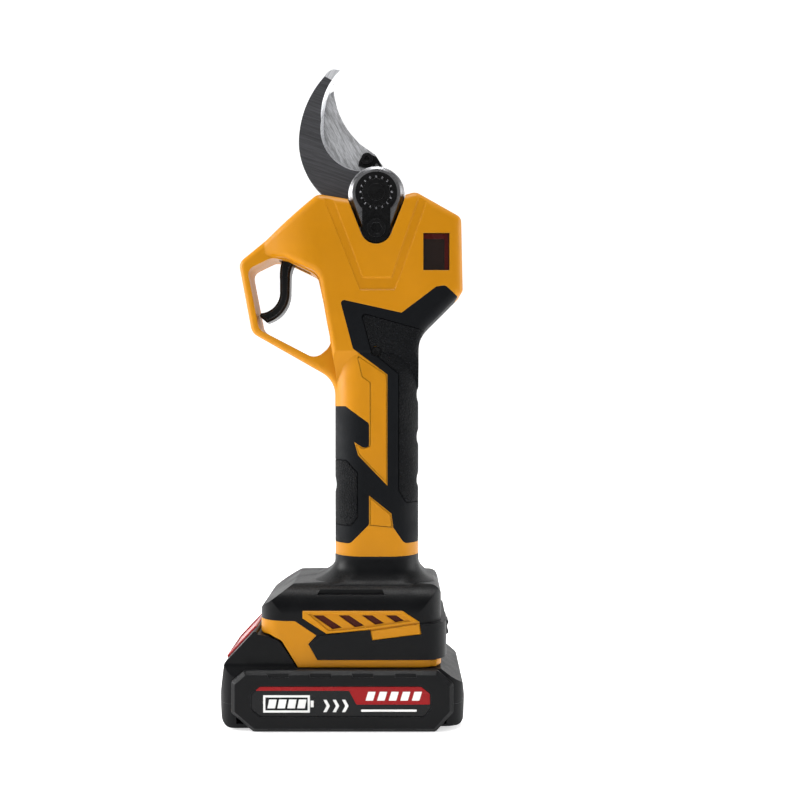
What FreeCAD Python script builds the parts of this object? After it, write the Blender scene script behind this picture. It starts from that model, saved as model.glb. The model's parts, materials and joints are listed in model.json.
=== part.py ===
import FreeCAD, Part
import math
import os
from types import SimpleNamespace

# Cordless pruner: a straight grip with a cutting head on top and a slide-on battery below.
# Millimetres, +Z up. The origin is the bottom centre of the battery pack. The blades are at the top,
# the trigger and its guard are on the -X side, and the lock nut of the blades faces -Y (the front).

os.makedirs("parts", exist_ok=True)
doc = FreeCAD.newDocument("CordlessPruner")
sheet = doc.addObject("Spreadsheet::Sheet", "sizes")

DRIVING_DIMENSIONS = [
    ("axis_x", 15.4, "middle of the grip, gearbox, motor and blade pivot"),
    ("pivot_z", 246.5, "height of the blade pivot"),
    ("head_half", 20.0, "half thickness of the head"),
    ("guard_half", 11.0, "half thickness of the trigger guard"),
    ("head_round", 4.2, "rounding of the head's outline"),
    ("loop_round", 3.0, "rounding of the head beside the finger loop"),
    ("cavity_half", 16.6, "half depth of the hollow in the head"),
    ("grip_half_x", 19.85, "half width of the grip"),
    ("grip_half_y", 19.5, "half depth of the grip"),
    ("grip_round", 14.0, "corner radius of the grip's section"),
    ("rubber_wall", 2.0, "thickness of the soft grip cover"),
    ("shell_wall", 2.4, "thickness of the housing under the cover"),
    ("grip_low", 76.5, "bottom of the grip"),
    ("blade_thick", 3.0, "thickness of the moving blade"),
    ("hook_thick", 3.5, "thickness of the fixed hook blade"),
    ("blade_gap", 0.1, "running gap between the blades"),
    ("bolt_radius", 4.0, "pivot bolt shank"),
    ("run_gap", 0.05, "radial running clearance of shafts"),
    ("gear_module", 0.6, "module of the planetary gears"),
    ("sun_teeth", 12, "teeth of each sun and planet"),
    ("ring_teeth", 36, "teeth of the ring gear"),
    ("gear_face", 6.6, "face width of the planetary gears"),
    ("bevel_module", 1.5, "module of the bevel pair at its outer end"),
    ("pinion_teeth", 10, "teeth of the bevel pinion"),
    ("sector_teeth", 40, "teeth of the full circle of the sector gear"),
    ("motor_radius", 14.0, "motor can and gearbox"),
    ("motor_low", 112.0, "bottom of the motor"),
    ("motor_high", 156.0, "top of the motor"),
    ("base_half", 31.5, "half depth of the base"),
    ("base_wall", 2.6, "wall of the base"),
    ("base_top", 64.5, "top of the base"),
    ("base_low", 27.9, "underside of the base"),
    ("pack_half_x", 56.0, "half length of the battery pack"),
    ("pack_half_y", 34.0, "half depth of the pack's case"),
    ("panel_half_y", 37.5, "half depth over the pack's side panels"),
    ("pack_deck", 27.4, "top deck of the pack"),
    ("case_split", 11.7, "joint between the pack's upper and lower case"),
    ("case_wall", 2.0, "wall of the pack's case"),
    ("cell_radius", 9.15, "battery cell"),
    ("cell_length", 65.0, "battery cell"),
    ("trigger_x", -21.5, "trigger pin"),
    ("trigger_z", 224.0, "trigger pin"),
    ("trigger_half", 5.5, "half width of the trigger"),
]


class Size(float):
    """A number that remembers how it is worked out from the cells of the sheet."""

    def __new__(cls, value, formula):
        made = float.__new__(cls, value)
        made.formula = formula
        return made

    def combined(self, other, sign, value, turned=False):
        own, others = self.formula, getattr(other, "formula", repr(float(other)))
        left, right = (others, own) if turned else (own, others)
        return Size(value, f"({left} {sign} {right})")

    def __add__(self, other):
        return self.combined(other, "+", float(self) + float(other))

    def __radd__(self, other):
        return self.combined(other, "+", float(other) + float(self), True)

    def __sub__(self, other):
        return self.combined(other, "-", float(self) - float(other))

    def __rsub__(self, other):
        return self.combined(other, "-", float(other) - float(self), True)

    def __mul__(self, other):
        return self.combined(other, "*", float(self) * float(other))

    def __rmul__(self, other):
        return self.combined(other, "*", float(other) * float(self), True)

    def __truediv__(self, other):
        return self.combined(other, "/", float(self) / float(other))

    def __neg__(self):
        return self.combined(-1, "*", -float(self))


dim = SimpleNamespace()
for row, (alias, value, note) in enumerate(DRIVING_DIMENSIONS, start=1):
    sheet.set(f"A{row}", note)
    sheet.set(f"B{row}", str(value))
    sheet.setAlias(f"B{row}", alias)
    setattr(dim, alias, Size(value, f"sizes.{alias}"))
doc.recompute()


# ---------------------------------------------------------------- outlines

def corners(*points):
    """Closed outline of straight sides. A third number rounds that corner."""
    plain = [FreeCAD.Vector(point[0], point[1], 0) for point in points]
    sides = []
    for number, point in enumerate(points):
        here = plain[number]
        radius = point[2] if len(point) > 2 else 0
        if not radius:
            sides.append((here, None, here))
            continue
        back = (plain[number - 1] - here).normalize()
        ahead = (plain[(number + 1) % len(plain)] - here).normalize()
        half = back.getAngle(ahead) / 2
        middle = (back + ahead).normalize()
        centre = here + middle * (radius / math.sin(half))
        reach = radius / math.tan(half)
        sides.append((here + back * reach, centre - middle * radius, here + ahead * reach))
    edges = []
    for number, (start, through, end) in enumerate(sides):
        if through is not None:
            edges.append(Part.Arc(start, through, end))
        edges.append(Part.LineSegment(end, sides[(number + 1) % len(sides)][0]))
    return edges


def path(start, *steps):
    """Closed outline: (x, y) is a straight side, (mid x, mid y, x, y) an arc through the middle."""
    here = FreeCAD.Vector(*start, 0)
    first = here
    edges = []
    for step in steps:
        end = FreeCAD.Vector(step[-2], step[-1], 0)
        if len(step) == 4:
            edges.append(Part.Arc(here, FreeCAD.Vector(step[0], step[1], 0), end))
        else:
            edges.append(Part.LineSegment(here, end))
        here = end
    if (here - first).Length > 1e-6:
        edges.append(Part.LineSegment(here, first))
    return edges


def teardrop(x, high, high_radius, low, low_radius):
    """A large circle and a smaller one below it, joined by their two common tangents."""
    lean = math.asin((high_radius - low_radius) / (high - low))
    across, up = math.cos(lean), -math.sin(lean)
    right_high = (x + high_radius * across, high + high_radius * up)
    right_low = (x + low_radius * across, low + low_radius * up)
    left_high = (x - high_radius * across, right_high[1])
    left_low = (x - low_radius * across, right_low[1])
    return path(right_high, (x, high + high_radius, *left_high), left_low,
                (x, low - low_radius, *right_low), right_high)


def gear(teeth, pitch_radius, outwards, inwards, tip_share, root_share, turn=0.0):
    """Straight-flanked gear outline. outwards is where the tips are, inwards where the roots are."""
    points = []
    pitch = 2 * math.pi / teeth
    for tooth in range(int(teeth)):
        for share, radius in ((-root_share, inwards), (-tip_share, outwards),
                              (tip_share, outwards), (root_share, inwards)):
            angle = turn + (tooth + share / 2) * pitch
            reach = pitch_radius + radius
            points.append((reach * math.cos(angle), reach * math.sin(angle)))
    return points


def shifted(points, x, y):
    return [(px + x, py + y) for px, py in points]


# ---------------------------------------------------------------- solids

def bind(item, name, size):
    """Set a property, or bind it to the sheet where the size comes from there."""
    if hasattr(size, "formula"):
        item.setExpression(name, size.formula)
    else:
        owner = item
        *parents, last = name.split(".")
        if parents:
            placement = owner.Placement if parents[0] == "Placement" else owner.AttachmentOffset
            setattr(placement.Base, last, size)
            setattr(owner, parents[0], placement)
        else:
            setattr(owner, last, size)


def place(item, x, y, z):
    bind(item, "Placement.Base.x", x)
    bind(item, "Placement.Base.y", y)
    bind(item, "Placement.Base.z", z)
    return item


def box(name, x, y, z):
    """Box between the low and high of each axis."""
    item = doc.addObject("Part::Box", name)
    bind(item, "Length", x[1] - x[0])
    bind(item, "Width", y[1] - y[0])
    bind(item, "Height", z[1] - z[0])
    return place(item, x[0], y[0], z[0])


TURNS = {
    "Z": FreeCAD.Rotation(),
    "Y": FreeCAD.Rotation(FreeCAD.Vector(1, 0, 0), -90),
    "X": FreeCAD.Rotation(FreeCAD.Vector(0, 1, 0), 90),
}


def cylinder(name, axis, radius, low, high, *centre):
    """Cylinder along an axis from low to high. centre is the other two coordinates, in XYZ order."""
    item = doc.addObject("Part::Cylinder", name)
    bind(item, "Radius", radius)
    bind(item, "Height", high - low)
    item.Placement = FreeCAD.Placement(FreeCAD.Vector(), TURNS[axis])
    spot = list(centre)
    spot.insert("XYZ".index(axis), low)
    return place(item, *spot)


def prism(name, outline, plane, low, high):
    """Pad of an outline drawn on the XY, XZ or YZ plane, from low to high on the third axis."""
    body = doc.addObject("PartDesign::Body", name)
    sketch = body.newObject("Sketcher::SketchObject", name + "_outline")
    support = next(item for item in body.Origin.OriginFeatures if item.Role == plane + "_Plane")
    sketch.AttachmentSupport = [(support, "")]
    sketch.MapMode = "FlatFace"
    start = -high if plane == "XZ" else low
    bind(sketch, "AttachmentOffset.Base.z", start)
    sketch.addGeometry(outline, False)
    pad = body.newObject("PartDesign::Pad", name + "_pad")
    pad.Profile = sketch
    bind(pad, "Length", high - low)
    return body


def loft(name, outlines, plane, levels, ruled=True):
    """Loft between outlines at several levels of one plane, with straight or smooth sides."""
    body = doc.addObject("PartDesign::Body", name)
    sketches = []
    support = next(item for item in body.Origin.OriginFeatures if item.Role == plane + "_Plane")
    for number, (outline, level) in enumerate(zip(outlines, levels)):
        sketch = body.newObject("Sketcher::SketchObject", f"{name}_outline_{number}")
        sketch.AttachmentSupport = [(support, "")]
        sketch.MapMode = "FlatFace"
        bind(sketch, "AttachmentOffset.Base.z", -level if plane == "XZ" else level)
        sketch.addGeometry(outline, False)
        sketches.append(sketch)
    step = body.newObject("PartDesign::AdditiveLoft", name + "_loft")
    step.Profile = sketches[0]
    step.Sections = sketches[1:]
    step.Ruled = ruled
    return body


def fuse(name, *parts):
    item = doc.addObject("Part::MultiFuse", name)
    item.Shapes = list(parts)
    item.Refine = True
    return item


def common(name, *parts):
    item = parts[0]
    for number, part in enumerate(parts[1:], start=1):
        both = doc.addObject("Part::Common", name if number == len(parts) - 1 else f"{name}_step{number}")
        both.Base = item
        both.Tool = part
        item = both
    return item


def cut(name, base, *tools):
    item = doc.addObject("Part::Cut", name)
    item.Base = base
    item.Tool = tools[0] if len(tools) == 1 else fuse(name + "_tools", *tools)
    return item


def round_edges(name, base, radius, wanted):
    """Round the edges for which wanted(edge) is true."""
    doc.recompute()
    numbers = [number for number, edge in enumerate(base.Shape.Edges, start=1) if wanted(edge)]
    item = doc.addObject("Part::Fillet", name)
    item.Base = base
    item.Edges = [(number, float(radius), float(radius)) for number in numbers]
    return item


def bevel_edges(name, base, along, across, wanted):
    """Bevel the edges for which wanted(edge) is true."""
    doc.recompute()
    numbers = [number for number, edge in enumerate(base.Shape.Edges, start=1) if wanted(edge)]
    item = doc.addObject("Part::Chamfer", name)
    item.Base = base
    item.Edges = [(number, float(along), float(across)) for number in numbers]
    return item


def on_faces(*levels):
    """Edges that lie flat in one of the planes Y = level."""
    def wanted(edge):
        room = edge.BoundBox
        return any(abs(room.YMin - level) < 0.01 and abs(room.YMax - level) < 0.01 for level in levels)
    return wanted


nodes = {}


def node(name, item):
    """Name a finished sub-part: the label names its file."""
    item.Label = name
    nodes[name] = item
    return item


FRONT, BACK = (-60, 0), (0, 60)
ROOM_X, ROOM_Z = (-90, 90), (-20, 330)
front_room = box("front_room", ROOM_X, FRONT, ROOM_Z)
back_room = box("back_room", ROOM_X, BACK, ROOM_Z)

AX, PIVOT = dim.axis_x, dim.pivot_z
GRIP_LEFT, GRIP_RIGHT = AX - dim.grip_half_x, AX + dim.grip_half_x


# ---------------------------------------------------------------- head, guard and grip shape

FINGER_LOOP = corners((-45.9, 211.4, 4), (-34.5, 217.0, 6), (-27, 215.6, 3), (-12.6, 208.6, 7),
                      (-5.6, 175.6, 7), (-13.6, 169.0, 6), (-40.4, 182.9, 5))


def head_body():
    """Thick head: flat faces, thinner towards the guard, sunk into the grip below."""
    side = prism("head_side", corners(
        (-12.2, 246.2, 5), (AX, 241.6), (33.8, 247.3, 5), (55.3, 235.2, 4), (56.0, 200.3, 3),
        (GRIP_RIGHT, 179.6, 17), (GRIP_RIGHT, 148), (-2.0, 148), (-4.0, 164),
        (-11.8, 209.0, 7), (-27, 216.4, 3), (-34.5, 217.6, 6), (-39.5, 214.9),
        (-39.5, 223.8)), "XZ", -dim.head_half, dim.head_half)
    plan = prism("head_plan", corners(
        (-50, -4), (-22, -dim.head_half, 40), (70, -dim.head_half),
        (70, dim.head_half), (-22, dim.head_half, 40), (-50, 4)), "XY", 100, 300)
    block = common("head_block", side, plan)
    doc.recompute()
    rounding = []
    for number, edge in enumerate(block.Shape.Edges, start=1):
        room = edge.BoundBox
        middle = edge.valueAt((edge.FirstParameter + edge.LastParameter) / 2)
        crosses = room.YMin * room.YMax < 0
        crease = room.XLength < 0.01 and middle.x < 0
        if crosses or crease or middle.z < 149:
            continue
        loop_side = middle.x < 0 and middle.z < 222 and middle.z < 246.2 + 0.82 * (middle.x + 12.2) - 4
        radius = float(dim.loop_round if loop_side else dim.head_round)
        rounding.append((number, radius, radius))
    rounded = doc.addObject("Part::Fillet", "head_rounded")
    rounded.Base = block
    rounded.Edges = rounding
    sink = prism("head_sink", corners(
        (-25, 300), (-25, 181), (-5, 147), (5, 147), (25, 181), (25, 300)), "YZ", -80, 80)
    return common("head_body", rounded, sink)


def grip_column(name, inset, low, high):
    """The grip's rounded section, drawn in by inset."""
    half_x, half_y = dim.grip_half_x - inset, dim.grip_half_y - inset
    turn = dim.grip_round - inset
    section = corners((AX - half_x, -half_y, turn), (AX + half_x, -half_y, turn),
                      (AX + half_x, half_y, turn), (AX - half_x, half_y, turn))
    return prism(name, section, "XY", low, high)


def guard_ring():
    """Trigger guard: a thin loop from the head down to the grip."""
    ring = prism("guard_side", corners(
        (-16, 243.1), (-50.4, 214.9, 5), (-44.1, 181.4, 6), (-4.45, 158.8, 12), (-4.45, 146.7),
        (4, 146.7), (4, 236)), "XZ", -dim.guard_half, dim.guard_half)
    rim = round_edges("guard_rim", ring, 3.0, lambda edge: on_faces(
        -dim.guard_half, dim.guard_half)(edge) and edge.BoundBox.XMin < -5 and edge.BoundBox.XMax < -3)
    return rim


OPEN_NOTCH = teardrop(AX, PIVOT, 13.6, 229.7, 7.4)
RUBBER_AREA = corners(
    (-1.6, 196.6, 1.5), (27.2, 190.2), (43.4, 202.4, 2), (47.6, 203.0, 2), (55.0, 196.4), (70, 190),
    (70, 82.4), (28.5, 82.4, 3), (23.3, 90.1), (22.5, 96.5), (12.1, 104.9), (12.1, 91.4, 2),
    (3.2, 82.4, 3), (-30, 82.4), (-30, 146.6), (1.0, 146.6), (12.1, 138.6, 2), (12.1, 127.4, 1.2),
    (9.0, 127.4, 2), (5.2, 129.8), (7.0, 123.7, 2), (20.6, 109.6), (20.6, 161.4), (4.6, 173.4, 1))
RIGHT_PAD = [(8.7, 189.8, 1.5), (38.4, 181.6), (70, 176), (70, 101.7), (29.3, 101.7, 2), (26.1, 107.3),
             (26.1, 161.8), (13.3, 172.4)]
LEFT_PAD = [(-30, 121.0), (1.3, 121.0), (6.5, 115.3), (6.5, 94.9), (3.7, 91.0), (-30, 91.0)]
INLAY_AREA = [(6.4, 170.6, 0.6), (20.4, 161.2, 1), (20.4, 110.6), (7.5, 123.9, 1.5), (5.8, 128.9),
              (9.2, 127.0, 2), (12.5, 128.0, 1), (12.5, 157.6), (8.8, 160.2)]
FOOT_INLAY = [(12.5, 104.2), (22.2, 96.2), (23.0, 90.0), (12.5, 91.0)]
INLAY_GAP = 0.3


def grown(points, gap):
    """The outline moved outwards by gap, for a clockwise list of corners."""
    moved = []
    count = len(points)
    for number in range(count):
        before, here, after = points[number - 1], points[number], points[(number + 1) % count]
        first = FreeCAD.Vector(here[0] - before[0], here[1] - before[1], 0).normalize()
        second = FreeCAD.Vector(after[0] - here[0], after[1] - here[1], 0).normalize()
        outward = FreeCAD.Vector(-first.y - second.y, first.x + second.x, 0).normalize()
        spread = max(0.5, outward.dot(FreeCAD.Vector(-first.y, first.x, 0)))
        spot = (here[0] + outward.x * gap / spread, here[1] + outward.y * gap / spread)
        moved.append(spot + tuple(here[2:]))
    return moved


EMBOSS_FACE, EMBOSS_BEVEL = 19.4, 0.55


def through(name, outline):
    return prism(name, outline, "XZ", -40, 40)


head = head_body()
column = grip_column("grip_column", 0, dim.grip_low, 184)
guard = guard_ring()
loop_room = through("loop_room", FINGER_LOOP)
notch_room = through("notch_room", OPEN_NOTCH)
rubber_room = through("rubber_room", RUBBER_AREA)



def grip_core(name, depth):
    """The grip and lower head, drawn in by depth: what lies under a soft skin of that thickness."""
    share = depth / 2.0
    right, grip_right = 56.0 - depth, GRIP_RIGHT - depth
    side = prism(name + "_side", corners(
        (-40, 216), (right, 216), (right, 200.3 + 0.4 * depth), (grip_right, 179.6 + 0.4 * depth, 17 + depth),
        (grip_right, 148), (-2, 148), (-40, 190)), "XZ", -dim.head_half + depth, dim.head_half - depth)
    sink = prism(name + "_sink", corners(
        (-25, 300), (-25, 181 + 7.4 * share), (-5 + 2 * share, 147 + 4 * share),
        (5 - 2 * share, 147 + 4 * share), (25, 181 + 7.4 * share), (25, 300)), "YZ", -80, 80)
    return fuse(name, grip_column(name + "_column", depth, dim.grip_low - 1, 186),
                common(name + "_head", side, sink))


core = grip_core("cover_core", 2.0)
groove_core = grip_core("groove_core", 0.9)

outer_grip = fuse("outer_grip", head, column)
cover_skin = cut("cover_skin", common("cover_area", outer_grip, rubber_room), core, loop_room)

# The hollow: head room for the gears, and a rounded bore down the grip for motor and wires.
head_hollow = prism("head_hollow", corners(
    (-12.0, 239.8), (-18.5, 234.4), (-18.5, 217.6), (-8.6, 212.4, 6), (-0.8, 176, 3),
    (AX - 15.45, 172), (AX + 15.45, 172), (AX + 15.45, 182), (50.6, 201.6, 3), (51, 232.4),
    (33.8, 243.2), (AX, 240.4)), "XZ", -dim.cavity_half, dim.cavity_half)
bore = grip_column("grip_bore", dim.rubber_wall + dim.shell_wall, 60, 184)
blade_slot = box("blade_slot", (-12.4, 5.8), (-7.0, -2.7), (228, 250))
trigger_slot = box("trigger_slot", (-31.5, -16.5), (-6.2, 6.2), (206, 223))
trigger_pin_seat = cylinder("trigger_pin_seat", "Y", 1.5, -9.5, 9.5, dim.trigger_x, dim.trigger_z)
trigger_pocket = box("trigger_pocket", (-28.5, -14), (-7.4, 7.4), (217.4, 229.6))


def emboss(name, low, high):
    """A shallow V-shaped band cut into one flat face of the head."""
    outer = prism(name + "_outer", corners((-11.9, 250), (42.2, 250), (24.2, 200.7), (7.7, 200.7)), "XZ",
                  low, high)
    inner = prism(name + "_inner", corners((-6.9, 250), (37.0, 250), (22.4, 206.9), (9.3, 206.9)), "XZ",
                  low - 1, high + 1)
    band = cut(name + "_band", outer, inner)
    return bevel_edges(name, band, EMBOSS_BEVEL, EMBOSS_BEVEL, on_faces(-EMBOSS_FACE, EMBOSS_FACE))


emboss_front = emboss("emboss_front", -21, -EMBOSS_FACE)
emboss_back = emboss("emboss_back", EMBOSS_FACE, 21)
window_room = box("window_room", (37.35, 49.6), (-22, -16), (210.0, 227.5))
gearbox_screw_room = cylinder("gearbox_screw_room", "Y", 2.5, -22, -14.6, AX, 172.3)

inlay_room = fuse("inlay_room", through("inlay_strip_room", corners(*INLAY_AREA)),
                  through("foot_inlay_room", corners(*FOOT_INLAY)))
inlay_shape = fuse("inlay_shape", through("inlay_strip", corners(*grown(INLAY_AREA, -INLAY_GAP))),
                   through("foot_inlay", corners(*grown(FOOT_INLAY, -INLAY_GAP))))
inlay_core = grip_column("inlay_core", 1.2, 80, 180)
inlay_skin = cut("inlay_skin", common("inlay_area", outer_grip, inlay_room), inlay_core)

shell_solid = fuse("shell_solid", head, column, guard)
shell = cut("housing_shell", shell_solid, loop_room, notch_room, head_hollow, bore, blade_slot, trigger_slot,
            trigger_pocket, trigger_pin_seat, emboss_front, emboss_back, window_room, gearbox_screw_room,
            cover_skin, inlay_skin)

# Screw bosses stand in the front half; the screws come in from the back half.
HEAD_SCREWS = [(-16.4, 232.6), (47.4, 233.6), (45.8, 204.6)]
boss_pieces = []
hole_pieces = []
for number, (x, z) in enumerate(HEAD_SCREWS):
    boss_pieces.append(cylinder(f"head_boss_{number}", "Y", 3.2, -17, 17, x, z))
    hole_pieces.append(cylinder(f"head_screw_hole_{number}", "Y", 1.3, -14, 25, x, z))
    hole_pieces.append(cylinder(f"head_screw_sink_{number}", "Y", 2.9, 16, 25, x, z))
bossed_shell = fuse("bossed_shell", shell, *boss_pieces)
drilled_shell = cut("drilled_shell", bossed_shell, *hole_pieces)
node("front_housing", common("front_housing", drilled_shell, front_room))
back_half = common("back_half", drilled_shell, back_room)
node("back_housing", back_half)

pad_room = fuse("pad_room", through("right_pad_room", corners(*RIGHT_PAD)),
                through("left_pad_room", corners(*LEFT_PAD)))
pad_gap = fuse("pad_gap", through("right_pad_gap", corners(*grown(RIGHT_PAD, 0.45))),
               through("left_pad_gap", corners(*grown(LEFT_PAD, 0.45))))
SCALLOPS = [(GRIP_RIGHT + 8.2, 152.0), (GRIP_RIGHT + 8.2, 132.0), (GRIP_RIGHT + 8.2, 111.5),
            (GRIP_LEFT - 8.2, 109.5)]
scallops = [cylinder(f"scallop_{number}", "Y", 9, -30, 30, x, z)
            for number, (x, z) in enumerate(SCALLOPS)]
pads = cut("grip_pads", common("pad_area", cover_skin, pad_room), gearbox_screw_room, *scallops)
pad_groove = cut("pad_groove", pad_gap, pad_room, groove_core)
cover = cut("grip_cover", cover_skin, pad_room, pad_groove, gearbox_screw_room, inlay_room)
node("front_grip_cover", common("front_grip_cover", cover, front_room))
node("back_grip_cover", common("back_grip_cover", cover, back_room))
node("front_grip_pads", common("front_grip_pads", pads, front_room))
node("back_grip_pads", common("back_grip_pads", pads, back_room))
node("grip_inlays", common("grip_inlays", inlay_skin, inlay_shape))

window = box("window", (37.4, 49.55), (-18.4, -17.0), (210.05, 227.45))
node("display_window", window)
board_pieces = [box("display_card", (36.6, 50.4), (-16.4, -15.2), (208.6, 229.0)),
                box("display_digits", (38.6, 48.4), (-16.9, -16.4), (212.0, 225.4)),
                box("display_plug", (39.5, 47.5), (-15.2, -12.0), (214.0, 218.0))]
node("display_board", fuse("display_board", *board_pieces))


# ---------------------------------------------------------------- blades and their frame

HOOK_BACK = -(dim.blade_thick + dim.blade_gap)
HOOK_FRONT = HOOK_BACK - dim.hook_thick
CHEEK_FRONT = -14.0
COVER_FRONT = -17.0
HOOK_SCREWS = [(-5.5, 235.5), (0.8, 229.2)]
SHANK_HOLE = dim.bolt_radius + dim.run_gap


def pivot_hole(name, radius=SHANK_HOLE):
    return cylinder(name, "Y", radius, -25, 25, AX, PIVOT)


hook_side = prism("hook_side", path(
    (-1.1, 307.3), (-5.0, 307.9), (-7.7, 306.7, -9.6, 304.4), (-18.4, 290.4, -21.9, 274.5),
    (-19.7, 260.9, -10.8, 247.8), (-10.2, 231.5), (-2.0, 225.0), (5.5, 229.5), (9.0, 236.3),
    (AX + 9.9, PIVOT - 6.8, AX, PIVOT + 12), (8.1, 259.3), (-6.0, 267.4, -9.9, 283.0),
    (-8.1, 295.4, -1.1, 307.3)), "XZ", HOOK_FRONT, HOOK_BACK)


# The grinding runs along the hook's inner edge: nothing at the back face, widest at the front face.
hook_grind = loft("hook_grind", [
    path((8.3, 259.7), (-5.7, 267.7, -9.6, 283.0), (-7.8, 295.2, -0.7, 307.2), (14, 307), (20, 262)),
    path((8.0, 258.9), (-7.2, 266.6, -11.2, 283.0), (-9.5, 296.0, -1.3, 307.9), (14, 308), (20, 261))],
    "XZ", (HOOK_BACK, HOOK_FRONT))
hook_holes = [cylinder(f"hook_screw_hole_{number}", "Y", 2.1, -20, 20, x, z)
              for number, (x, z) in enumerate(HOOK_SCREWS)]
node("fixed_blade", cut("fixed_blade", hook_side, hook_grind, pivot_hole("hook_pivot_hole"), *hook_holes))

# The moving blade's left edge is ground back towards its rear face.
BLADE_FRONT = path(
    (-5.5, 298.4), (-1.5, 284.6, 7.9, 272.4), (14.5, 267.8), (21.5, 257.3),
    (AX + 8.77, PIVOT - 8.77, AX - 12.4, PIVOT), (-7.5, 259.5), (-15.0, 273.5, -12.9, 287.5),
    (-10.1, 293.8, -5.5, 298.4))
BLADE_REAR = path(
    (-4.9, 295.6), (-1.3, 284.4, 7.9, 272.4), (14.5, 267.8), (21.5, 257.3),
    (AX + 8.77, PIVOT - 8.77, AX - 12.4, PIVOT), (-5.3, 260.6), (-12.5, 273.5, -10.5, 286.6),
    (-8.0, 291.8, -4.9, 295.6))
moving_side = loft("moving_side", [BLADE_REAR, BLADE_FRONT], "XZ", (0.0, -dim.blade_thick))

CLIP_SCREW = (10.7, 264.9)
BUSH_RADIUS = 6.0
SECTOR_PINS = [(AX + 6.4, PIVOT - 6.4), (AX - 6.4, PIVOT - 6.4), (AX, PIVOT + 9.0)]
pin_holes = [cylinder(f"moving_pin_hole_{number}", "Y", 1.3, -5, 1, x, z)
             for number, (x, z) in enumerate(SECTOR_PINS)]
node("moving_blade", cut(
    "moving_blade", moving_side, pivot_hole("moving_pivot_hole", BUSH_RADIUS),
    cylinder("clip_screw_hole", "Y", 1.5, -5, 1, *CLIP_SCREW), *pin_holes))

# Small black clip on the moving blade, held by one socket screw.
clip_side = prism("clip_side", corners(
    (6.5, 261.8), (6.8, 264.0), (8.3, 266.6, 1.5), (10.7, 268.0, 2), (13.3, 266.9, 1), (15.2, 266.3, 1),
    (16.4, 264.4), (18.3, 260.5), (17.2, 260.5), (15.7, 263.2), (14.4, 262.5), (15.0, 261.2), (13.3, 260.6),
    (9.4, 261.0)), "XZ", -dim.blade_thick - 2.2, -dim.blade_thick)
node("blade_clip", cut("blade_clip", clip_side, cylinder("clip_hole", "Y", 1.5, -9, 0, *CLIP_SCREW)))
clip_head = cylinder("clip_screw_head", "Y", 2.7, -7.8, -dim.blade_thick - 2.2, *CLIP_SCREW)
clip_shank = cylinder("clip_screw_shank", "Y", 1.5, -dim.blade_thick - 2.2, 0.6, *CLIP_SCREW)
clip_screw = fuse("clip_screw_solid", clip_head, clip_shank)
sector_pins = [cylinder(f"sector_pin_{number}", "Y", 1.3, -2.8, 6, x, z)
               for number, (x, z) in enumerate(SECTOR_PINS)]


def hexagon(x, z, across):
    reach = across / math.sqrt(3)
    return corners(*[(x + reach * math.cos(math.radians(60 * turn)),
                      z + reach * math.sin(math.radians(60 * turn))) for turn in range(6)])


clip_socket = prism("clip_socket", hexagon(*CLIP_SCREW, 2.6), "XZ", -9, -6.0)
screw_and_pins = doc.addObject("Part::Compound", "blade_screws")
screw_and_pins.Links = [cut("clip_screw", clip_screw, clip_socket), *sector_pins]
node("blade_screws", screw_and_pins)

# Sector gear behind the moving blade: a hub, a plate and tapered teeth that point at the pinion.
SECTOR_RADIUS = dim.sector_teeth * dim.bevel_module / 2
PINION_RADIUS = dim.pinion_teeth * dim.bevel_module / 2
BEVEL_FACE = 6.6
INNER_SHARE = (float(SECTOR_RADIUS) - BEVEL_FACE) / float(SECTOR_RADIUS)
TIP, ROOT = 0.72 * float(dim.bevel_module), 1.05 * float(dim.bevel_module)
PLATE_LOW, PLATE_HIGH = 9.3, 12.5
TOOTH_ANGLE = 360 / float(dim.sector_teeth)
SECTOR_TEETH = range(-1, 8)


def sector_angle(degrees, radius):
    """Point of the sector plate, measured from straight down towards +X."""
    angle = math.radians(degrees)
    return AX + radius * math.sin(angle), PIVOT - radius * math.cos(angle)


rim = float(SECTOR_RADIUS) + 0.6
first_side, last_side = -1.0 * TOOTH_ANGLE, 7.1 * TOOTH_ANGLE
plate = prism("sector_plate", path(
    sector_angle(first_side, 9), sector_angle(first_side, rim),
    (*sector_angle((first_side + last_side) / 2, rim), *sector_angle(last_side, rim)),
    sector_angle(last_side, 9)), "XZ", PLATE_LOW, PLATE_HIGH)
hub = cylinder("sector_hub", "Y", 11.0, 0, PLATE_HIGH, AX, PIVOT)
sector_pieces = [plate, hub]
tooth_pitch = math.pi * float(dim.bevel_module)
for tooth in SECTOR_TEETH:
    wires = []
    for share in (1.0, INNER_SHARE):
        reach = float(SECTOR_RADIUS) * share
        tip_y = (float(PINION_RADIUS) - TIP) * share
        half_tip, half_root = 0.10 * tooth_pitch * share, 0.26 * tooth_pitch * share
        lean = half_root + (half_root - half_tip) / (TIP + ROOT) * 0.4
        section = [(-half_tip, tip_y), (half_tip, tip_y), (lean, PLATE_LOW + 0.4), (-lean, PLATE_LOW + 0.4)]
        angle = math.radians(tooth * TOOTH_ANGLE)
        spots = [FreeCAD.Vector(AX + reach * math.sin(angle) + across * math.cos(angle), depth,
                                PIVOT - reach * math.cos(angle) + across * math.sin(angle))
                 for across, depth in section]
        wires.append(Part.makePolygon(spots + spots[:1]))
    tooth_item = doc.addObject("Part::Feature", f"sector_tooth_{tooth + 1}")
    tooth_item.Shape = Part.makeLoft(wires, True, True)
    sector_pieces.append(tooth_item)
sector_solid = fuse("sector_solid", *sector_pieces)
node("sector_gear", cut("sector_gear", sector_solid, pivot_hole("sector_bore", BUSH_RADIUS),
                        *[cylinder(f"sector_pin_hole_{number}", "Y", 1.3, -3, 6, x, z)
                          for number, (x, z) in enumerate(SECTOR_PINS)]))
bush_outer = cylinder("bush_outer", "Y", BUSH_RADIUS, -dim.blade_thick, PLATE_HIGH, AX, PIVOT)
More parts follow.
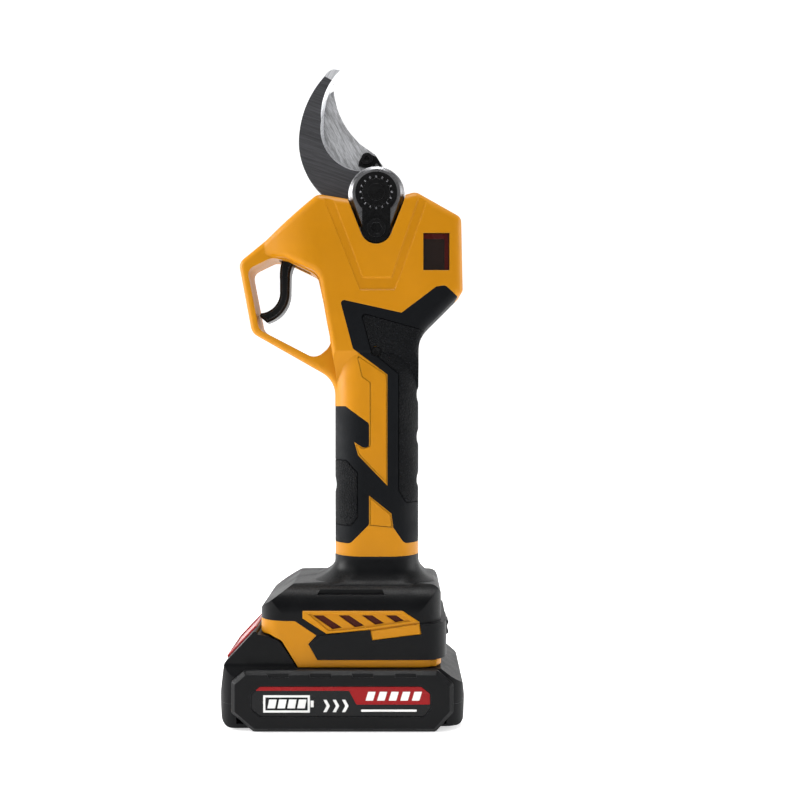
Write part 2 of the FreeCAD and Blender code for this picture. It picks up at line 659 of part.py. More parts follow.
node("pivot_bush", cut("pivot_bush", bush_outer, pivot_hole("bush_hole")))

# Cast frame: front and back cheeks for the pivot, a pad for the fixed blade, and the gearbox flange.
cheek_side = prism("cheek_side", teardrop(AX, PIVOT, 13.3, 229.7, 7.1), "XZ", CHEEK_FRONT, HOOK_FRONT)
front_cheek = bevel_edges("front_cheek", cheek_side, 0.8, 0.8, on_faces(CHEEK_FRONT))
hook_pad = prism("hook_pad", corners(
    (-9.6, 237.0), (4.0, 239.0), (9.0, 226.0), (-2.0, 223.4), (-9.6, 229.4)), "XZ", CHEEK_FRONT, HOOK_FRONT)
front_leg = box("front_leg", (AX - 9, AX + 9), (CHEEK_FRONT, -10.4), (199, 231))
back_cheek = prism("back_cheek", teardrop(AX, PIVOT, 11.6, 203.0, 9.5), "XZ", 13.2, 16.2)
flange = box("frame_flange", (3.0, 27.8), (CHEEK_FRONT, 16.2), (198.6, 203.0))
bearing_sleeve = cylinder("bearing_sleeve", "Z", 13.6, 184.6, 200, AX, 0)
frame_solid = fuse("frame_solid", front_cheek, hook_pad, front_leg, back_cheek, flange, bearing_sleeve)
SHAFT_RADIUS = 4.0
BEARING_LOW, BEARING_HIGH = 190.0, 197.0
frame_screw_holes = [cylinder(f"frame_screw_hole_{number}", "Y", 1.7, -20, 0, x, z)
                     for number, (x, z) in enumerate(HOOK_SCREWS)]
node("gear_frame", cut(
    "gear_frame", frame_solid, pivot_hole("frame_pivot_hole", dim.bolt_radius),
    cylinder("frame_shaft_hole", "Z", SHAFT_RADIUS + 0.6, 180, 210, AX, 0),
    cylinder("frame_bearing_seat", "Z", 9.5, BEARING_LOW, BEARING_HIGH, AX, 0),
    cylinder("frame_carrier_room", "Z", 10.2, 184, BEARING_LOW - 1.2, AX, 0),
    cylinder("frame_pinion_room", "Z", 9.6, 203, 226, AX, 0),
    cylinder("lock_screw_hole", "Y", 2.0, -20, -10.4, AX, 229.7), *frame_screw_holes))

cover_side = prism("cover_side", teardrop(AX, PIVOT, 12.4, 229.7, 6.7), "XZ", COVER_FRONT, CHEEK_FRONT)
cover_beveled = bevel_edges("cover_beveled", cover_side, 1.1, 1.1, on_faces(COVER_FRONT))
node("pivot_cover", cut("pivot_cover", cover_beveled, pivot_hole("cover_pivot_hole", dim.bolt_radius),
                        cylinder("cover_lock_hole", "Y", 2.0, -20, -10, AX, 229.7)))

LOCK_FRONT = COVER_FRONT - 1.4
NECK = 6.6
NECK_TOP = PIVOT - math.sqrt(9.85 ** 2 - NECK ** 2)
lock_side = prism("lock_side", path(
    (AX - NECK, 229.7), (AX - NECK, NECK_TOP), (AX, PIVOT + 9.85, AX + NECK, NECK_TOP), (AX + NECK, 229.7),
    (AX, 229.7 - NECK, AX - NECK, 229.7)), "XZ", LOCK_FRONT, COVER_FRONT)
NUT_TEETH = 16
nut_room = prism("nut_room", corners(*shifted(gear(NUT_TEETH, 7.2, 0.75, -0.45, 0.34, 0.62), AX, PIVOT)),
                 "XZ", -25, -10)
lock_hole = cylinder("lock_plate_hole", "Y", 2.0, -20, -10, AX, 229.7)
node("lock_plate", cut("lock_plate", lock_side, nut_room, lock_hole))
nut_side = prism("nut_side", corners(*shifted(gear(NUT_TEETH, 7.0, 0.6, -0.6, 0.26, 0.54), AX, PIVOT)),
                 "XZ", COVER_FRONT - 2.2, COVER_FRONT)
node("pivot_nut", cut("pivot_nut", nut_side, pivot_hole("nut_hole", dim.bolt_radius)))
lock_head = cylinder("lock_head", "Y", 4.3, LOCK_FRONT - 1.6, LOCK_FRONT, AX, 229.7)
lock_shank = cylinder("lock_shank", "Y", 2.0, LOCK_FRONT, -10.6, AX, 229.7)
lock_socket = prism("lock_socket", hexagon(AX, 229.7, 5.0), "XZ", -25, LOCK_FRONT - 0.5)
node("lock_screw", cut("lock_screw", fuse("lock_screw_solid", lock_head, lock_shank), lock_socket))
bolt_head = cylinder("bolt_head", "Y", 7.0, 16.2, 20.0, AX, PIVOT)
bolt_shank = cylinder("bolt_shank", "Y", dim.bolt_radius, COVER_FRONT - 2.6, 16.2, AX, PIVOT)
bolt_socket = prism("bolt_socket", hexagon(AX, PIVOT, 6.0), "XZ", 17.4, 25)
node("pivot_bolt", cut("pivot_bolt", fuse("pivot_bolt_solid", bolt_head, bolt_shank), bolt_socket))
hook_screws = doc.addObject("Part::Compound", "fixed_blade_screws")
hook_screws.Links = [fuse(f"hook_screw_{number}",
                          cylinder(f"hook_screw_head_{number}", "Y", 2.9, HOOK_BACK, HOOK_BACK + 2.0, x, z),
                          cylinder(f"hook_screw_shank_{number}", "Y", 1.7, -13.6, HOOK_BACK, x, z))
                     for number, (x, z) in enumerate(HOOK_SCREWS)]
node("fixed_blade_screws", hook_screws)


# ---------------------------------------------------------------- gearbox and motor

PITCH_RADIUS = dim.gear_module * dim.sun_teeth / 2
RING_RADIUS = dim.gear_module * dim.ring_teeth / 2
CENTRE_GAP = PITCH_RADIUS * 2
GEAR_TIP, GEAR_ROOT = 0.75 * float(dim.gear_module), 1.1 * float(dim.gear_module)
TOOTH_TIP, TOOTH_ROOT = 0.18, 0.46
LOWER_GEARS, UPPER_GEARS = 161.6, 174.4
PLANETS = 3


def gear_wheel(name, x, y, low, face, turn):
    points = gear(dim.sun_teeth, float(PITCH_RADIUS), GEAR_TIP, -GEAR_ROOT, TOOTH_TIP, TOOTH_ROOT, turn)
    return prism(name, corners(*shifted(points, x, y)), "XY", low, low + face)


half_pitch = math.pi / float(dim.ring_teeth)
ring_points = gear(dim.ring_teeth, float(RING_RADIUS), -GEAR_TIP, GEAR_ROOT, TOOTH_TIP, TOOTH_ROOT,
                   half_pitch)
ring_blank = cylinder("ring_blank", "Z", dim.motor_radius - 0.2, 160.0, 184.6, AX, 0)
ring_bore = prism("ring_bore", corners(*shifted(ring_points, AX, 0)), "XY", 159, 182.0)
node("ring_gear", cut("ring_gear", ring_blank, ring_bore,
                      cylinder("ring_collar", "Z", 10.2, 181.6, 186, AX, 0)))
plate_blank = cylinder("plate_blank", "Z", dim.motor_radius - 0.2, dim.motor_high, 160.0, AX, 0)
node("gearbox_plate", cut("gearbox_plate", plate_blank, cylinder("plate_hole", "Z", 4.6, 150, 162, AX, 0)))

for stage, low in (("lower", LOWER_GEARS), ("upper", UPPER_GEARS)):
    for number in range(PLANETS):
        angle = 2 * math.pi * number / PLANETS
        x, y = AX + CENTRE_GAP * math.cos(angle), CENTRE_GAP * math.sin(angle)
        # A gap of the planet faces the sun's tooth, and a tooth faces the ring's gap.
        wheel = gear_wheel(f"{stage}_planet_wheel_{number}", x, y, low, dim.gear_face, 3 * angle)
        node(f"{stage}_planet_{number + 1}",
             cut(f"{stage}_planet_cut_{number}", wheel,
                 cylinder(f"{stage}_planet_bore_{number}", "Z", 1.25, low - 1, low + 9, x, y)))


def planet_pins(name, low, high):
    return [cylinder(f"{name}_{number}", "Z", 1.2, low, high,
                     AX + CENTRE_GAP * math.cos(2 * math.pi * number / PLANETS),
                     CENTRE_GAP * math.sin(2 * math.pi * number / PLANETS)) for number in range(PLANETS)]


SUN_TURN = math.pi / float(dim.sun_teeth)
carrier_low = LOWER_GEARS + float(dim.gear_face) + 0.5
node("planet_carrier", fuse(
    "planet_carrier", cylinder("lower_disc", "Z", 9.4, carrier_low, carrier_low + 3.0, AX, 0),
    gear_wheel("upper_sun", AX, 0, carrier_low + 3.0, dim.gear_face + 2.6, SUN_TURN),
    *planet_pins("lower_pin", LOWER_GEARS, carrier_low + 1)))
upper_low = UPPER_GEARS + float(dim.gear_face) + 0.8
PINION_LARGE = PIVOT - SECTOR_RADIUS
PINION_SMALL = PIVOT - SECTOR_RADIUS * INNER_SHARE
pinion_points = gear(dim.pinion_teeth, float(PINION_RADIUS), TIP, -ROOT, 0.20, 0.50,
                     math.pi / 2 + math.pi / float(dim.pinion_teeth))
small_points = [(x * INNER_SHARE, y * INNER_SHARE) for x, y in pinion_points]
pinion_ends = [corners(*shifted(points, AX, 0)) for points in (pinion_points, small_points)]
pinion = loft("bevel_pinion_teeth", pinion_ends, "XY", (PINION_LARGE, PINION_SMALL))
node("bevel_pinion", fuse(
    "bevel_pinion", pinion, cylinder("pinion_shaft", "Z", SHAFT_RADIUS, upper_low, PINION_LARGE + 2, AX, 0),
    cylinder("upper_disc", "Z", 9.4, upper_low, upper_low + 3.0, AX, 0),
    *planet_pins("upper_pin", UPPER_GEARS, upper_low + 1)))
bearing_outer = cylinder("bearing_outer", "Z", 9.5, BEARING_LOW, BEARING_HIGH, AX, 0)
bearing_bore = cylinder("bearing_bore", "Z", SHAFT_RADIUS + dim.run_gap, 180, 200, AX, 0)
node("pinion_bearing", cut("pinion_bearing", bearing_outer, bearing_bore))

ROTOR_SHAFT = 2.5
can_outer = cylinder("can_outer", "Z", dim.motor_radius, dim.motor_low, dim.motor_high, AX, 0)
can_room = cylinder("can_room", "Z", dim.motor_radius - 1.2, dim.motor_low + 2, dim.motor_high - 2, AX, 0)
can_holes = cylinder("can_bore", "Z", 5.0, 100, 160, AX, 0)
node("motor_can", cut("motor_can", can_outer, can_room, can_holes))
node("motor_stator", cut(
    "motor_stator", cylinder("stator_outer", "Z", dim.motor_radius - 1.2, 119, 149, AX, 0),
    cylinder("stator_bore", "Z", 8.6, 100, 160, AX, 0)))
bearings = doc.addObject("Part::Compound", "motor_bearings")
bearings.Links = [cut(
    f"motor_bearing_{name}", cylinder(f"motor_bearing_outer_{name}", "Z", 5.0, low, low + 2.0, AX, 0),
    cylinder(f"motor_bearing_bore_{name}", "Z", ROTOR_SHAFT + dim.run_gap, 100, 165, AX, 0))
    for name, low in (("low", dim.motor_low), ("high", dim.motor_high - 2.0))]
node("motor_bearings", bearings)
node("motor_rotor", fuse(
    "motor_rotor", cylinder("rotor_shaft", "Z", ROTOR_SHAFT, dim.motor_low - 1.5, LOWER_GEARS, AX, 0),
    cylinder("rotor_magnet", "Z", 8.1, 120, 148, AX, 0),
    gear_wheel("lower_sun", AX, 0, LOWER_GEARS - 1.0, dim.gear_face + 1.0, SUN_TURN)))


# ---------------------------------------------------------------- trigger

TX, TZ, TH = dim.trigger_x, dim.trigger_z, dim.trigger_half
lever = prism("lever", path(
    (-25.4, 225.4), (-30.2, 216.6, -31.2, 207.0), (-31.2, 202.0), (-33.6, 194.6, -40.4, 191.2),
    (-40.9, 189.6), (-37.4, 186.6), (-29.9, 191.6, -26.5, 201.5), (-26.3, 209.8),
    (-24.9, 214.4, -19.6, 221.0)), "XZ", -TH, TH)
lever_edges = bevel_edges("lever_edges", lever, 1.1, 1.1, on_faces(float(-TH), float(TH)))
trigger_hub = cylinder("trigger_hub", "Y", 4.6, -TH, TH, TX, TZ)
trigger_arm = box("trigger_arm", (TX, TX + 7.0), (-2.0, 2.0), (TZ - 2.0, TZ + 2.2))
PIN_RADIUS = 1.5
node("trigger", cut("trigger", fuse("trigger_solid", lever_edges, trigger_hub, trigger_arm),
                    cylinder("trigger_pin_hole", "Y", PIN_RADIUS + dim.run_gap, -20, 20, TX, TZ)))
node("trigger_pin", cylinder("trigger_pin", "Y", PIN_RADIUS, -9.4, 9.4, TX, TZ))
turns = []
for number in range(2):
    low = TH + 0.1 + 0.8 * number
    turn = cylinder(f"spring_turn_{number}", "Y", 3.0, low, low + 0.7, TX, TZ)
    eye = cylinder(f"spring_eye_{number}", "Y", 2.2, low - 1, low + 2, TX, TZ)
    turns.append(cut(f"spring_ring_{number}", turn, eye))
node("trigger_spring", fuse("trigger_spring", *turns))
sensor_card = box("sensor_card", (-13.2, -11.8), (-6, 6), (219.5, 231.0))
node("trigger_sensor", sensor_card)


# ---------------------------------------------------------------- base, battery shoe and electronics

BASE_LEFT, BASE_RIGHT, BAND_RIGHT = -37.8, 45.6, 48.0
SHOULDER = 13.0


def base_block(name, inset, half, right):
    """The base, drawn in by inset: rounded in plan, in front view and in side view."""
    side = prism(name + "_side", corners(
        (BASE_LEFT + inset, dim.base_low), (right - inset, dim.base_low),
        (right - inset, dim.base_top - 0.4 - inset, 5), (AX, dim.base_top + 1.2 - inset),
        (-23.0, dim.base_top - inset, 3), (BASE_LEFT + inset, 54.4, 4)), "XZ", -60, 60)
    plan = prism(name + "_plan", corners(
        (BASE_LEFT + inset, -half, 11), (right - inset, -half, 11),
        (right - inset, half, 11), (BASE_LEFT + inset, half, 11)), "XY", 20, 80)
    profile = prism(name + "_profile", corners(
        (-half, 20), (-half, dim.base_top + 0.6 - inset, SHOULDER - inset),
        (half, dim.base_top + 0.6 - inset, SHOULDER - inset), (half, 20)), "YZ", -60, 60)
    return common(name, side, plan, profile)


base_outer = base_block("base_outer", 0, dim.base_half, BASE_RIGHT)
base_inner = base_block("base_inner", dim.base_wall, dim.base_half - dim.base_wall, BASE_RIGHT)
band_side = prism("band_side", corners(
    (-14.4, 38.5), (-10.4, 42.2), (12.8, 45.0), (36, 42.6), (36, 47.6), (70, 48.4), (70, 31.4),
    (-10.9, 31.4)), "XZ", -60, 60)
band = common("base_band", base_block("band_block", 0, dim.base_half + 0.8, BAND_RIGHT), band_side)
# The collar spreads into the base in a hollow curve: height, spread to the left, right and front.
FLARE_STEPS = ((76.5, 0.0, 0.0, 0.0), (73.5, 0.1, 0.1, 0.1), (71.0, 0.7, 0.5, 0.5), (68.8, 2.2, 1.6, 1.2),
               (67.0, 4.4, 3.2, 2.2), (65.6, 7.2, 5.2, 3.2), (64.2, 10.4, 7.6, 4.6), (62.0, 10.6, 7.8, 4.8))


def flare_section(left, right, front):
    turn = dim.grip_round
    return corners((GRIP_LEFT - left, -dim.grip_half_y - front, turn),
                   (GRIP_RIGHT + right, -dim.grip_half_y - front, turn),
                   (GRIP_RIGHT + right, dim.grip_half_y + front, turn),
                   (GRIP_LEFT - left, dim.grip_half_y + front, turn))


flare = loft("collar_flare", [flare_section(*spread) for _, *spread in FLARE_STEPS], "XY",
             [step[0] for step in FLARE_STEPS], ruled=False)
scoop = prism("base_scoop", corners((-11.5, 60.2), (19.5, 60.2), (16.5, 66), (-8, 66)), "XZ", -40, -26.4)

SKIRT_AREA = corners(
    (-60, 49.6), (-21.3, 48.9), (-11.6, 42.4), (-15.2, 38.5), (-11.1, 31.2), (70, 31.2),
    (70, 20), (-60, 20))
SKIRT_CUT = corners((-60, 43.6), (-33.0, 42.6, 3), (-27.4, 40.2, 3), (-19.8, dim.base_low), (-19.8, 20),
                    (-60, 20))
skirt_room = cut("skirt_room", through("skirt_area", SKIRT_AREA), through("skirt_cut", SKIRT_CUT))
hump_room = through("hump_room", SKIRT_CUT)
GRILLE_AREA = corners((-17.8, 53.6), (27.6, 53.6), (35.3, 48.6), (36.2, 43.0), (13.8, 40.2), (12.9, 44.9),
                      (-6.9, 43.2), (-17.8, 50.2))
grille_room = through("grille_room", GRILLE_AREA)
base_full = fuse("base_full", base_outer, band, flare)
base_shell = cut("base_shell", base_full, base_inner, hump_room, grip_column("collar_bore", 4.4, 50, 80))
switch_room = box("switch_room", (40, 52), (-6.4, 6.4), (35.4, 45.6))
base_black = cut("base_black", base_shell, skirt_room, grille_room, scoop, switch_room)
node("front_base", common("front_base", base_black, front_room))
node("back_base", common("back_base", base_black, back_room))

# The shoe is the yellow skirt with two lips that hold the pack's rail.
RAIL_NECK, RAIL_WING, RAIL_LEFT, RAIL_RIGHT = 17.0, 20.0, -16.0, 22.0
LIP_LOW, LIP_HIGH = 28.1, 30.9
shoe_skirt = common("shoe_skirt", cut("shoe_ring", base_outer, base_inner), skirt_room)
lips = [box(f"shoe_lip_{number}", (-19.0, BASE_RIGHT - dim.base_wall + 0.2), side, (LIP_LOW, LIP_HIGH))
        for number, side in enumerate(((-30.0, -RAIL_NECK - 0.4), (RAIL_NECK + 0.4, 30.0)))]
rear_stop = box("shoe_rear_stop", (RAIL_RIGHT + 14.4, BASE_RIGHT - dim.base_wall + 0.2),
                (-RAIL_NECK, RAIL_NECK), (LIP_LOW, LIP_HIGH))
node("battery_shoe", cut("battery_shoe", fuse("shoe_solid", shoe_skirt, *lips, rear_stop), switch_room))

# Each slot: top left, top right, bottom right, bottom left.
VENT_SLOTS = [((-13.3, 51.6), (-8.4, 51.6), (0.2, 46.0), (-4.2, 45.2)),
              ((-1.6, 51.6), (3.3, 51.6), (10.3, 46.9), (6.0, 46.1)),
              ((9.0, 51.6), (13.9, 51.6), (19.4, 48.0), (15.3, 47.3)),
              ((19.8, 51.6), (24.8, 51.6), (28.4, 49.1), (24.5, 48.4))]
GRILLE_PANEL = corners((-15.4, 52.4), (27.0, 52.4), (31.4, 49.0), (13.0, 46.2), (-5.9, 44.4))
GRILLE_GROOVE = corners((12.0, 45.3), (37.0, 49.0), (37.0, 48.0), (12.0, 44.3))
GRILLE_FACE, GRILLE_BEVEL = 32.2, 0.5
for side, low, high in (("front", -GRILLE_FACE, -28.6), ("back", 28.6, GRILLE_FACE)):
    grille = prism(f"{side}_grille_side", GRILLE_AREA, "XZ", low, high)
    eased = bevel_edges(f"{side}_grille_eased", grille, GRILLE_BEVEL, GRILLE_BEVEL,
                        on_faces(low if side == "front" else high))
    sunk = (low - 1, low + 0.7) if side == "front" else (high - 0.7, high + 1)
    panel_room = prism(f"{side}_grille_panel", GRILLE_PANEL, "XZ", *sunk)
    groove = prism(f"{side}_grille_groove", GRILLE_GROOVE, "XZ", *sunk)
    openings = [prism(f"{side}_vent_slot_{number}", corners(*outline), "XZ", -40, 40)
                for number, outline in enumerate(VENT_SLOTS)]
    node(f"{side}_vent_grille", cut(f"{side}_vent_grille", eased, panel_room, groove, *openings))

BOARD_LOW = 50.0
card = box("controller_card", (-30, 38), (-22, 22), (BOARD_LOW, BOARD_LOW + 1.6))
parts_on_card = [
    cylinder(f"capacitor_{number}", "Z", 4.0, BOARD_LOW - 11, BOARD_LOW, -20 + 9.5 * number, 14)
    for number in range(3)]
parts_on_card += [box(f"transistor_{number}", (-8 + 9 * number, -1 + 9 * number), (-18, -8),
                      (BOARD_LOW - 2.4, BOARD_LOW)) for number in range(4)]
node("controller_board", fuse("controller_board", card, *parts_on_card))

WIRES_HIGH = 109.8
wire_gland = box("wire_gland", (AX - 5, AX + 5), (8.6, 12.4), (WIRES_HIGH, dim.motor_low))
node("motor_wires", fuse("motor_wires", wire_gland, *[
    cylinder(f"motor_wire_{number}", "Z", 1.1, BOARD_LOW + 1.6, WIRES_HIGH, AX - 3 + 3 * number, 10.5)
    for number in range(3)]))
TERMINAL_LEFT = RAIL_RIGHT + 1.0
TERMINALS_Y = (-12.0, -4.0, 4.0, 12.0)
node("terminal_block", box("terminal_block", (TERMINAL_LEFT, TERMINAL_LEFT + 10), (-16, 16), (31.2, 40.0)))
blades = doc.addObject("Part::Compound", "terminal_blades")
blades.Links = [
    box(f"terminal_blade_{number}", (TERMINAL_LEFT - 13, TERMINAL_LEFT), (y - 0.4, y + 0.4), (32.4, 37.6))
    for number, y in enumerate(TERMINALS_Y)]
node("terminal_blades", blades)
node("battery_wires", fuse("battery_wires", *[
    cylinder(f"battery_wire_{number}", "Z", 1.3, 40.0, BOARD_LOW, TERMINAL_LEFT + 5, y)
    for number, y in enumerate((-6.0, 0.0, 6.0))]))

# Rocker switch in the right face of the base.
ROCKER_X, ROCKER_Z = 46.6, 40.5
switch_body = box("switch_body", (38.0, BAND_RIGHT + 0.8), (-6.3, 6.3), (35.5, 45.5))
switch_frame = cut("switch_frame_solid", switch_body,
                   box("switch_mouth", (44.0, 55), (-4.6, 4.6), (36.6, 44.4)),
                   cylinder("rocker_pin_seat", "Y", 1.05, -5.4, 5.4, ROCKER_X, ROCKER_Z))
node("switch_frame", switch_frame)
rocker = prism("rocker", corners(
    (45.6, 37.1, 0.8), (50.4, 37.1, 1), (48.9, 40.5, 3), (50.4, 43.9, 1), (45.6, 43.9, 0.8)), "XZ", -4.2, 4.2)
node("power_switch", fuse("power_switch", rocker,
                          cylinder("rocker_pin", "Y", 1.0, -5.2, 5.2, ROCKER_X, ROCKER_Z)))


def screw(name, x, z, low, head_low, head_radius=2.6, shank=1.25):
    head_piece = cylinder(name + "_head", "Y", head_radius, head_low, head_low + 1.8, x, z)
    socket = prism(name + "_socket", hexagon(x, z, 2.2), "XZ", head_low + 0.7, head_low + 3)
    shank_piece = cylinder(name + "_shank", "Y", shank, low, head_low, x, z)
    return cut(name, fuse(name + "_solid", head_piece, shank_piece), socket)


GEARBOX_SCREW_Z = 172.3
fasteners = doc.addObject("Part::Compound", "housing_screws")
front_screw = fuse("gearbox_screw_solid",
                   cylinder("gearbox_screw_head", "Y", 2.3, -17.6, -16.0, AX, GEARBOX_SCREW_Z),
                   cylinder("gearbox_screw_shank", "Y", 1.2, -16.0, -14.0, AX, GEARBOX_SCREW_Z))
front_socket = prism("gearbox_screw_socket", hexagon(AX, GEARBOX_SCREW_Z, 2.2), "XZ", -25, -16.9)
back_screws = [screw(f"head_screw_{number}", x, z, -12, 16) for number, (x, z) in enumerate(HEAD_SCREWS)]
fasteners.Links = back_screws + [cut("gearbox_screw", front_screw, front_socket)]
node("housing_screws", fasteners)


# ---------------------------------------------------------------- battery pack

PX, PY = dim.pack_half_x, dim.pack_half_y


def pack_block(name, inset):
    """The pack's whole case, hump included, drawn in by inset."""
    side = prism(name + "_side", corners(
        (-PX + 1.4 + inset, 1.0 + inset, 5), (-PX + inset, 14.0), (-53.6 + inset, 29.6, 2),
        (-38.6, 45.6 - inset, 1), (-38.6, 42.8 - inset * 0.8), (-33.4, 41.8 - inset, 2),
        (-28.0, 39.2 - inset, 3), (-20.4 - inset / 2, dim.pack_deck - inset),
        (45.2 - inset / 2, dim.pack_deck - inset, 1), (55.2 - inset, 20.6, 1), (PX - inset, 14.0),
        (PX - 0.8 - inset, 2.0 + inset, 3)), "XZ", -60, 60)
    plan = prism(name + "_plan", corners(
        (-PX + inset, -PY + inset, 9), (PX - inset, -PY + inset, 9),
        (PX - inset, PY - inset, 9), (-PX + inset, PY - inset, 9)), "XY", -10, 60)
    half_high = 31.0 - inset
    profile = prism(name + "_profile", corners(
        (-PY + inset, -5), (-PY + inset, 24.0), (-half_high, 29.0, 3), (-half_high, 60), (half_high, 60),
        (half_high, 29.0, 3), (PY - inset, 24.0), (PY - inset, -5)), "YZ", -80, 80)
    return common(name, side, plan, profile)


pack_outer = pack_block("pack_outer", 0)
pack_inner = pack_block("pack_inner", dim.case_wall)
rail = fuse("pack_rail", box("rail_neck", (RAIL_LEFT, RAIL_RIGHT), (-RAIL_NECK, RAIL_NECK), (26.0, 31.4)),
            box("rail_wing", (RAIL_LEFT, RAIL_RIGHT), (-RAIL_WING, RAIL_WING), (31.3, 39.0)))
rail_room = box("rail_room", (RAIL_LEFT + 2, RAIL_RIGHT - 2), (-RAIL_NECK + 2, RAIL_NECK - 2), (20, 37.0))
slots = [box(f"rail_slot_{number}", (RAIL_RIGHT - 14.0, RAIL_RIGHT + 5), (y - 1.0, y + 1.0), (31.9, 38.2))
         for number, y in enumerate(TERMINALS_Y)]
side_openings = box("pack_side_openings", (-47.6, 47.6), (-60, 60), (3.0, 22.4))
BUTTON_TILT = FreeCAD.Rotation(FreeCAD.Vector(0, 1, 0), -46.4)
SLOPE_SPOT = (-46.6, 0.0, 37.1)
BUTTON_LOW, BUTTON_HIGH, BUTTON_HALF = -10.2, 9.2, 20.0
BUTTON_RISE, BUTTON_GAP, BUTTON_RIM = 1.0, 0.4, 1.6


def slope_box(name, along, across, out):
    """A box on the sloping end of the pack, with its sizes along, across and out of the slope."""
    item = doc.addObject("Part::Box", name)
    item.Length = along[1] - along[0]
    item.Width = across[1] - across[0]
    item.Height = out[1] - out[0]
    item.Placement = FreeCAD.Placement(FreeCAD.Vector(*SLOPE_SPOT), BUTTON_TILT).multiply(
        FreeCAD.Placement(FreeCAD.Vector(along[0], across[0], out[0]), FreeCAD.Rotation()))
    return item


button_room = slope_box("button_room", (BUTTON_LOW - BUTTON_GAP, BUTTON_HIGH + BUTTON_GAP),
                        (-BUTTON_HALF - BUTTON_GAP, BUTTON_HALF + BUTTON_GAP), (-9, 6))
pack_shell = cut("pack_shell", fuse("pack_solid", pack_outer, rail), pack_inner, rail_room, side_openings,
                 button_room, *slots)
SPLIT = dim.case_split
upper_room = box("upper_room", (-80, 80), (-60, 60), (SPLIT, 80))
lower_room = box("lower_room", (-80, 80), (-60, 60), (-20, SPLIT))
node("battery_case_upper", common("battery_case_upper", pack_shell, upper_room))
node("battery_case_lower", common("battery_case_lower", pack_shell, lower_room))

PANEL = [(-43.6, 27.6), (-49.6, 22.4), (-49.6, 8.6), (-39.6, 0), (42.6, 0), (50.6, 8.8), (50.6, 21.6),
         (43.4, 27.6)]
LABEL = [(-40.6, 17.2), (-36.6, 21.0), (36.2, 21.0), (40.6, 17.6), (40.6, 10.8), (37.2, 7.0), (-36.4, 7.0),
         (-40.6, 10.4)]
NOTCHES_X = (-33.1, -14.0, 5.0, 24.2)


def eased_corners(points, radius):
    return corners(*[point + (radius,) for point in points])


def side_panel(name, low, high, face, sunk):
    """One side panel: bevelled rim, sunk label and four notches along the top and the bottom."""
    blank = prism(f"{name}_panel_side", eased_corners(PANEL, 2.0), "XZ", low, high)
    eased = bevel_edges(f"{name}_panel_eased", blank, 1.8, 1.8, on_faces(float(face)))
    notches = [box(f"{name}_panel_notch_{side}_{number}", (left, left + 9.6), sunk, heights)
               for side, heights in (("top", (24.8, 30)), ("bottom", (-3, 1.6)))
               for number, left in enumerate(NOTCHES_X)]
    label_room = prism(f"{name}_label_room", eased_corners(LABEL, 2.0), "XZ", *sunk)
    return cut(f"{name}_side_panel", eased, label_room, *notches)


PANEL_FACE = dim.panel_half_y
panel_pair = doc.addObject("Part::Compound", "battery_side_panels")
panel_pair.Links = [
    side_panel("front", -PANEL_FACE, -PY, -PANEL_FACE, (-float(PANEL_FACE) - 1, -float(PANEL_FACE) + 0.6)),
    side_panel("back", PY, PANEL_FACE, PANEL_FACE, (float(PANEL_FACE) - 0.6, float(PANEL_FACE) + 1))]
node("battery_side_panels", panel_pair)

CELLS_X = [-37.4 + 18.7 * number for number in range(5)]
CELL_Z = 12.7
cells = doc.addObject("Part::Compound", "battery_cells")
cells.Links = [
    cylinder(f"cell_{number}", "Y", dim.cell_radius, -dim.cell_length / 2, dim.cell_length / 2, x, CELL_Z)
    for number, x in enumerate(CELLS_X)]
node("battery_cells", cells)
charge_card = box("charge_card", (-34, 40), (-24, 24), (22.6, 24.2))
contacts = [box(f"pack_contact_{number}", (9.6, 15.6), (y - 0.9, y - 0.5), (24.2, 36.6))
            for number, y in enumerate(TERMINALS_Y)]
node("battery_board", fuse("battery_board", charge_card, *contacts))

button_top = slope_box("button_top", (BUTTON_LOW, BUTTON_HIGH), (-BUTTON_HALF, BUTTON_HALF),
                       (-3.0, BUTTON_RISE))
SLOPE_OUT = BUTTON_TILT.multVec(FreeCAD.Vector(0, 0, 1))


def outer_button_edge(edge):
    return (edge.CenterOfMass - FreeCAD.Vector(*SLOPE_SPOT)).dot(SLOPE_OUT) > BUTTON_RISE - 0.1


button_round = round_edges("button_round", button_top, 0.8, outer_button_edge)
button_dish = slope_box("button_dish", (BUTTON_LOW + BUTTON_RIM, BUTTON_HIGH - BUTTON_RIM),
                        (-BUTTON_HALF + BUTTON_RIM, BUTTON_HALF - BUTTON_RIM), (BUTTON_RISE - 0.6, 5))
latch = slope_box("button_latch", (-6.0, 6.0), (-6.0, 6.0), (-5.4, -2.9))
node("release_button", fuse("release_button", cut("button_dished", button_round, button_dish), latch))

# ---------------------------------------------------------------- writing

doc.recompute()
failed = [item.Name for item in doc.Objects if "Invalid" in item.State or "Error" in item.State]
if failed:
    raise RuntimeError("failed: " + ", ".join(failed))
for name, item in nodes.items():
    if item.Shape.isNull() or not item.Shape.isValid():
        raise RuntimeError(f"{name} has no valid shape")
for name, item in nodes.items():
    item.Shape.exportStep(f"parts/{name}.step")
    room = item.Shape.BoundBox
    print(f"{name:24s} solids {len(item.Shape.Solids)} volume {item.Shape.Volume:10.1f}"
          f"  X {room.XMin:.1f}..{room.XMax:.1f} Y {room.YMin:.1f}..{room.YMax:.1f}"
          f" Z {room.ZMin:.1f}..{room.ZMax:.1f}")
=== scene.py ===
"""Finishes, small parts and studio for the cordless pruner."""

import json
import math

import bmesh
import bpy
from mathutils import Matrix, Vector

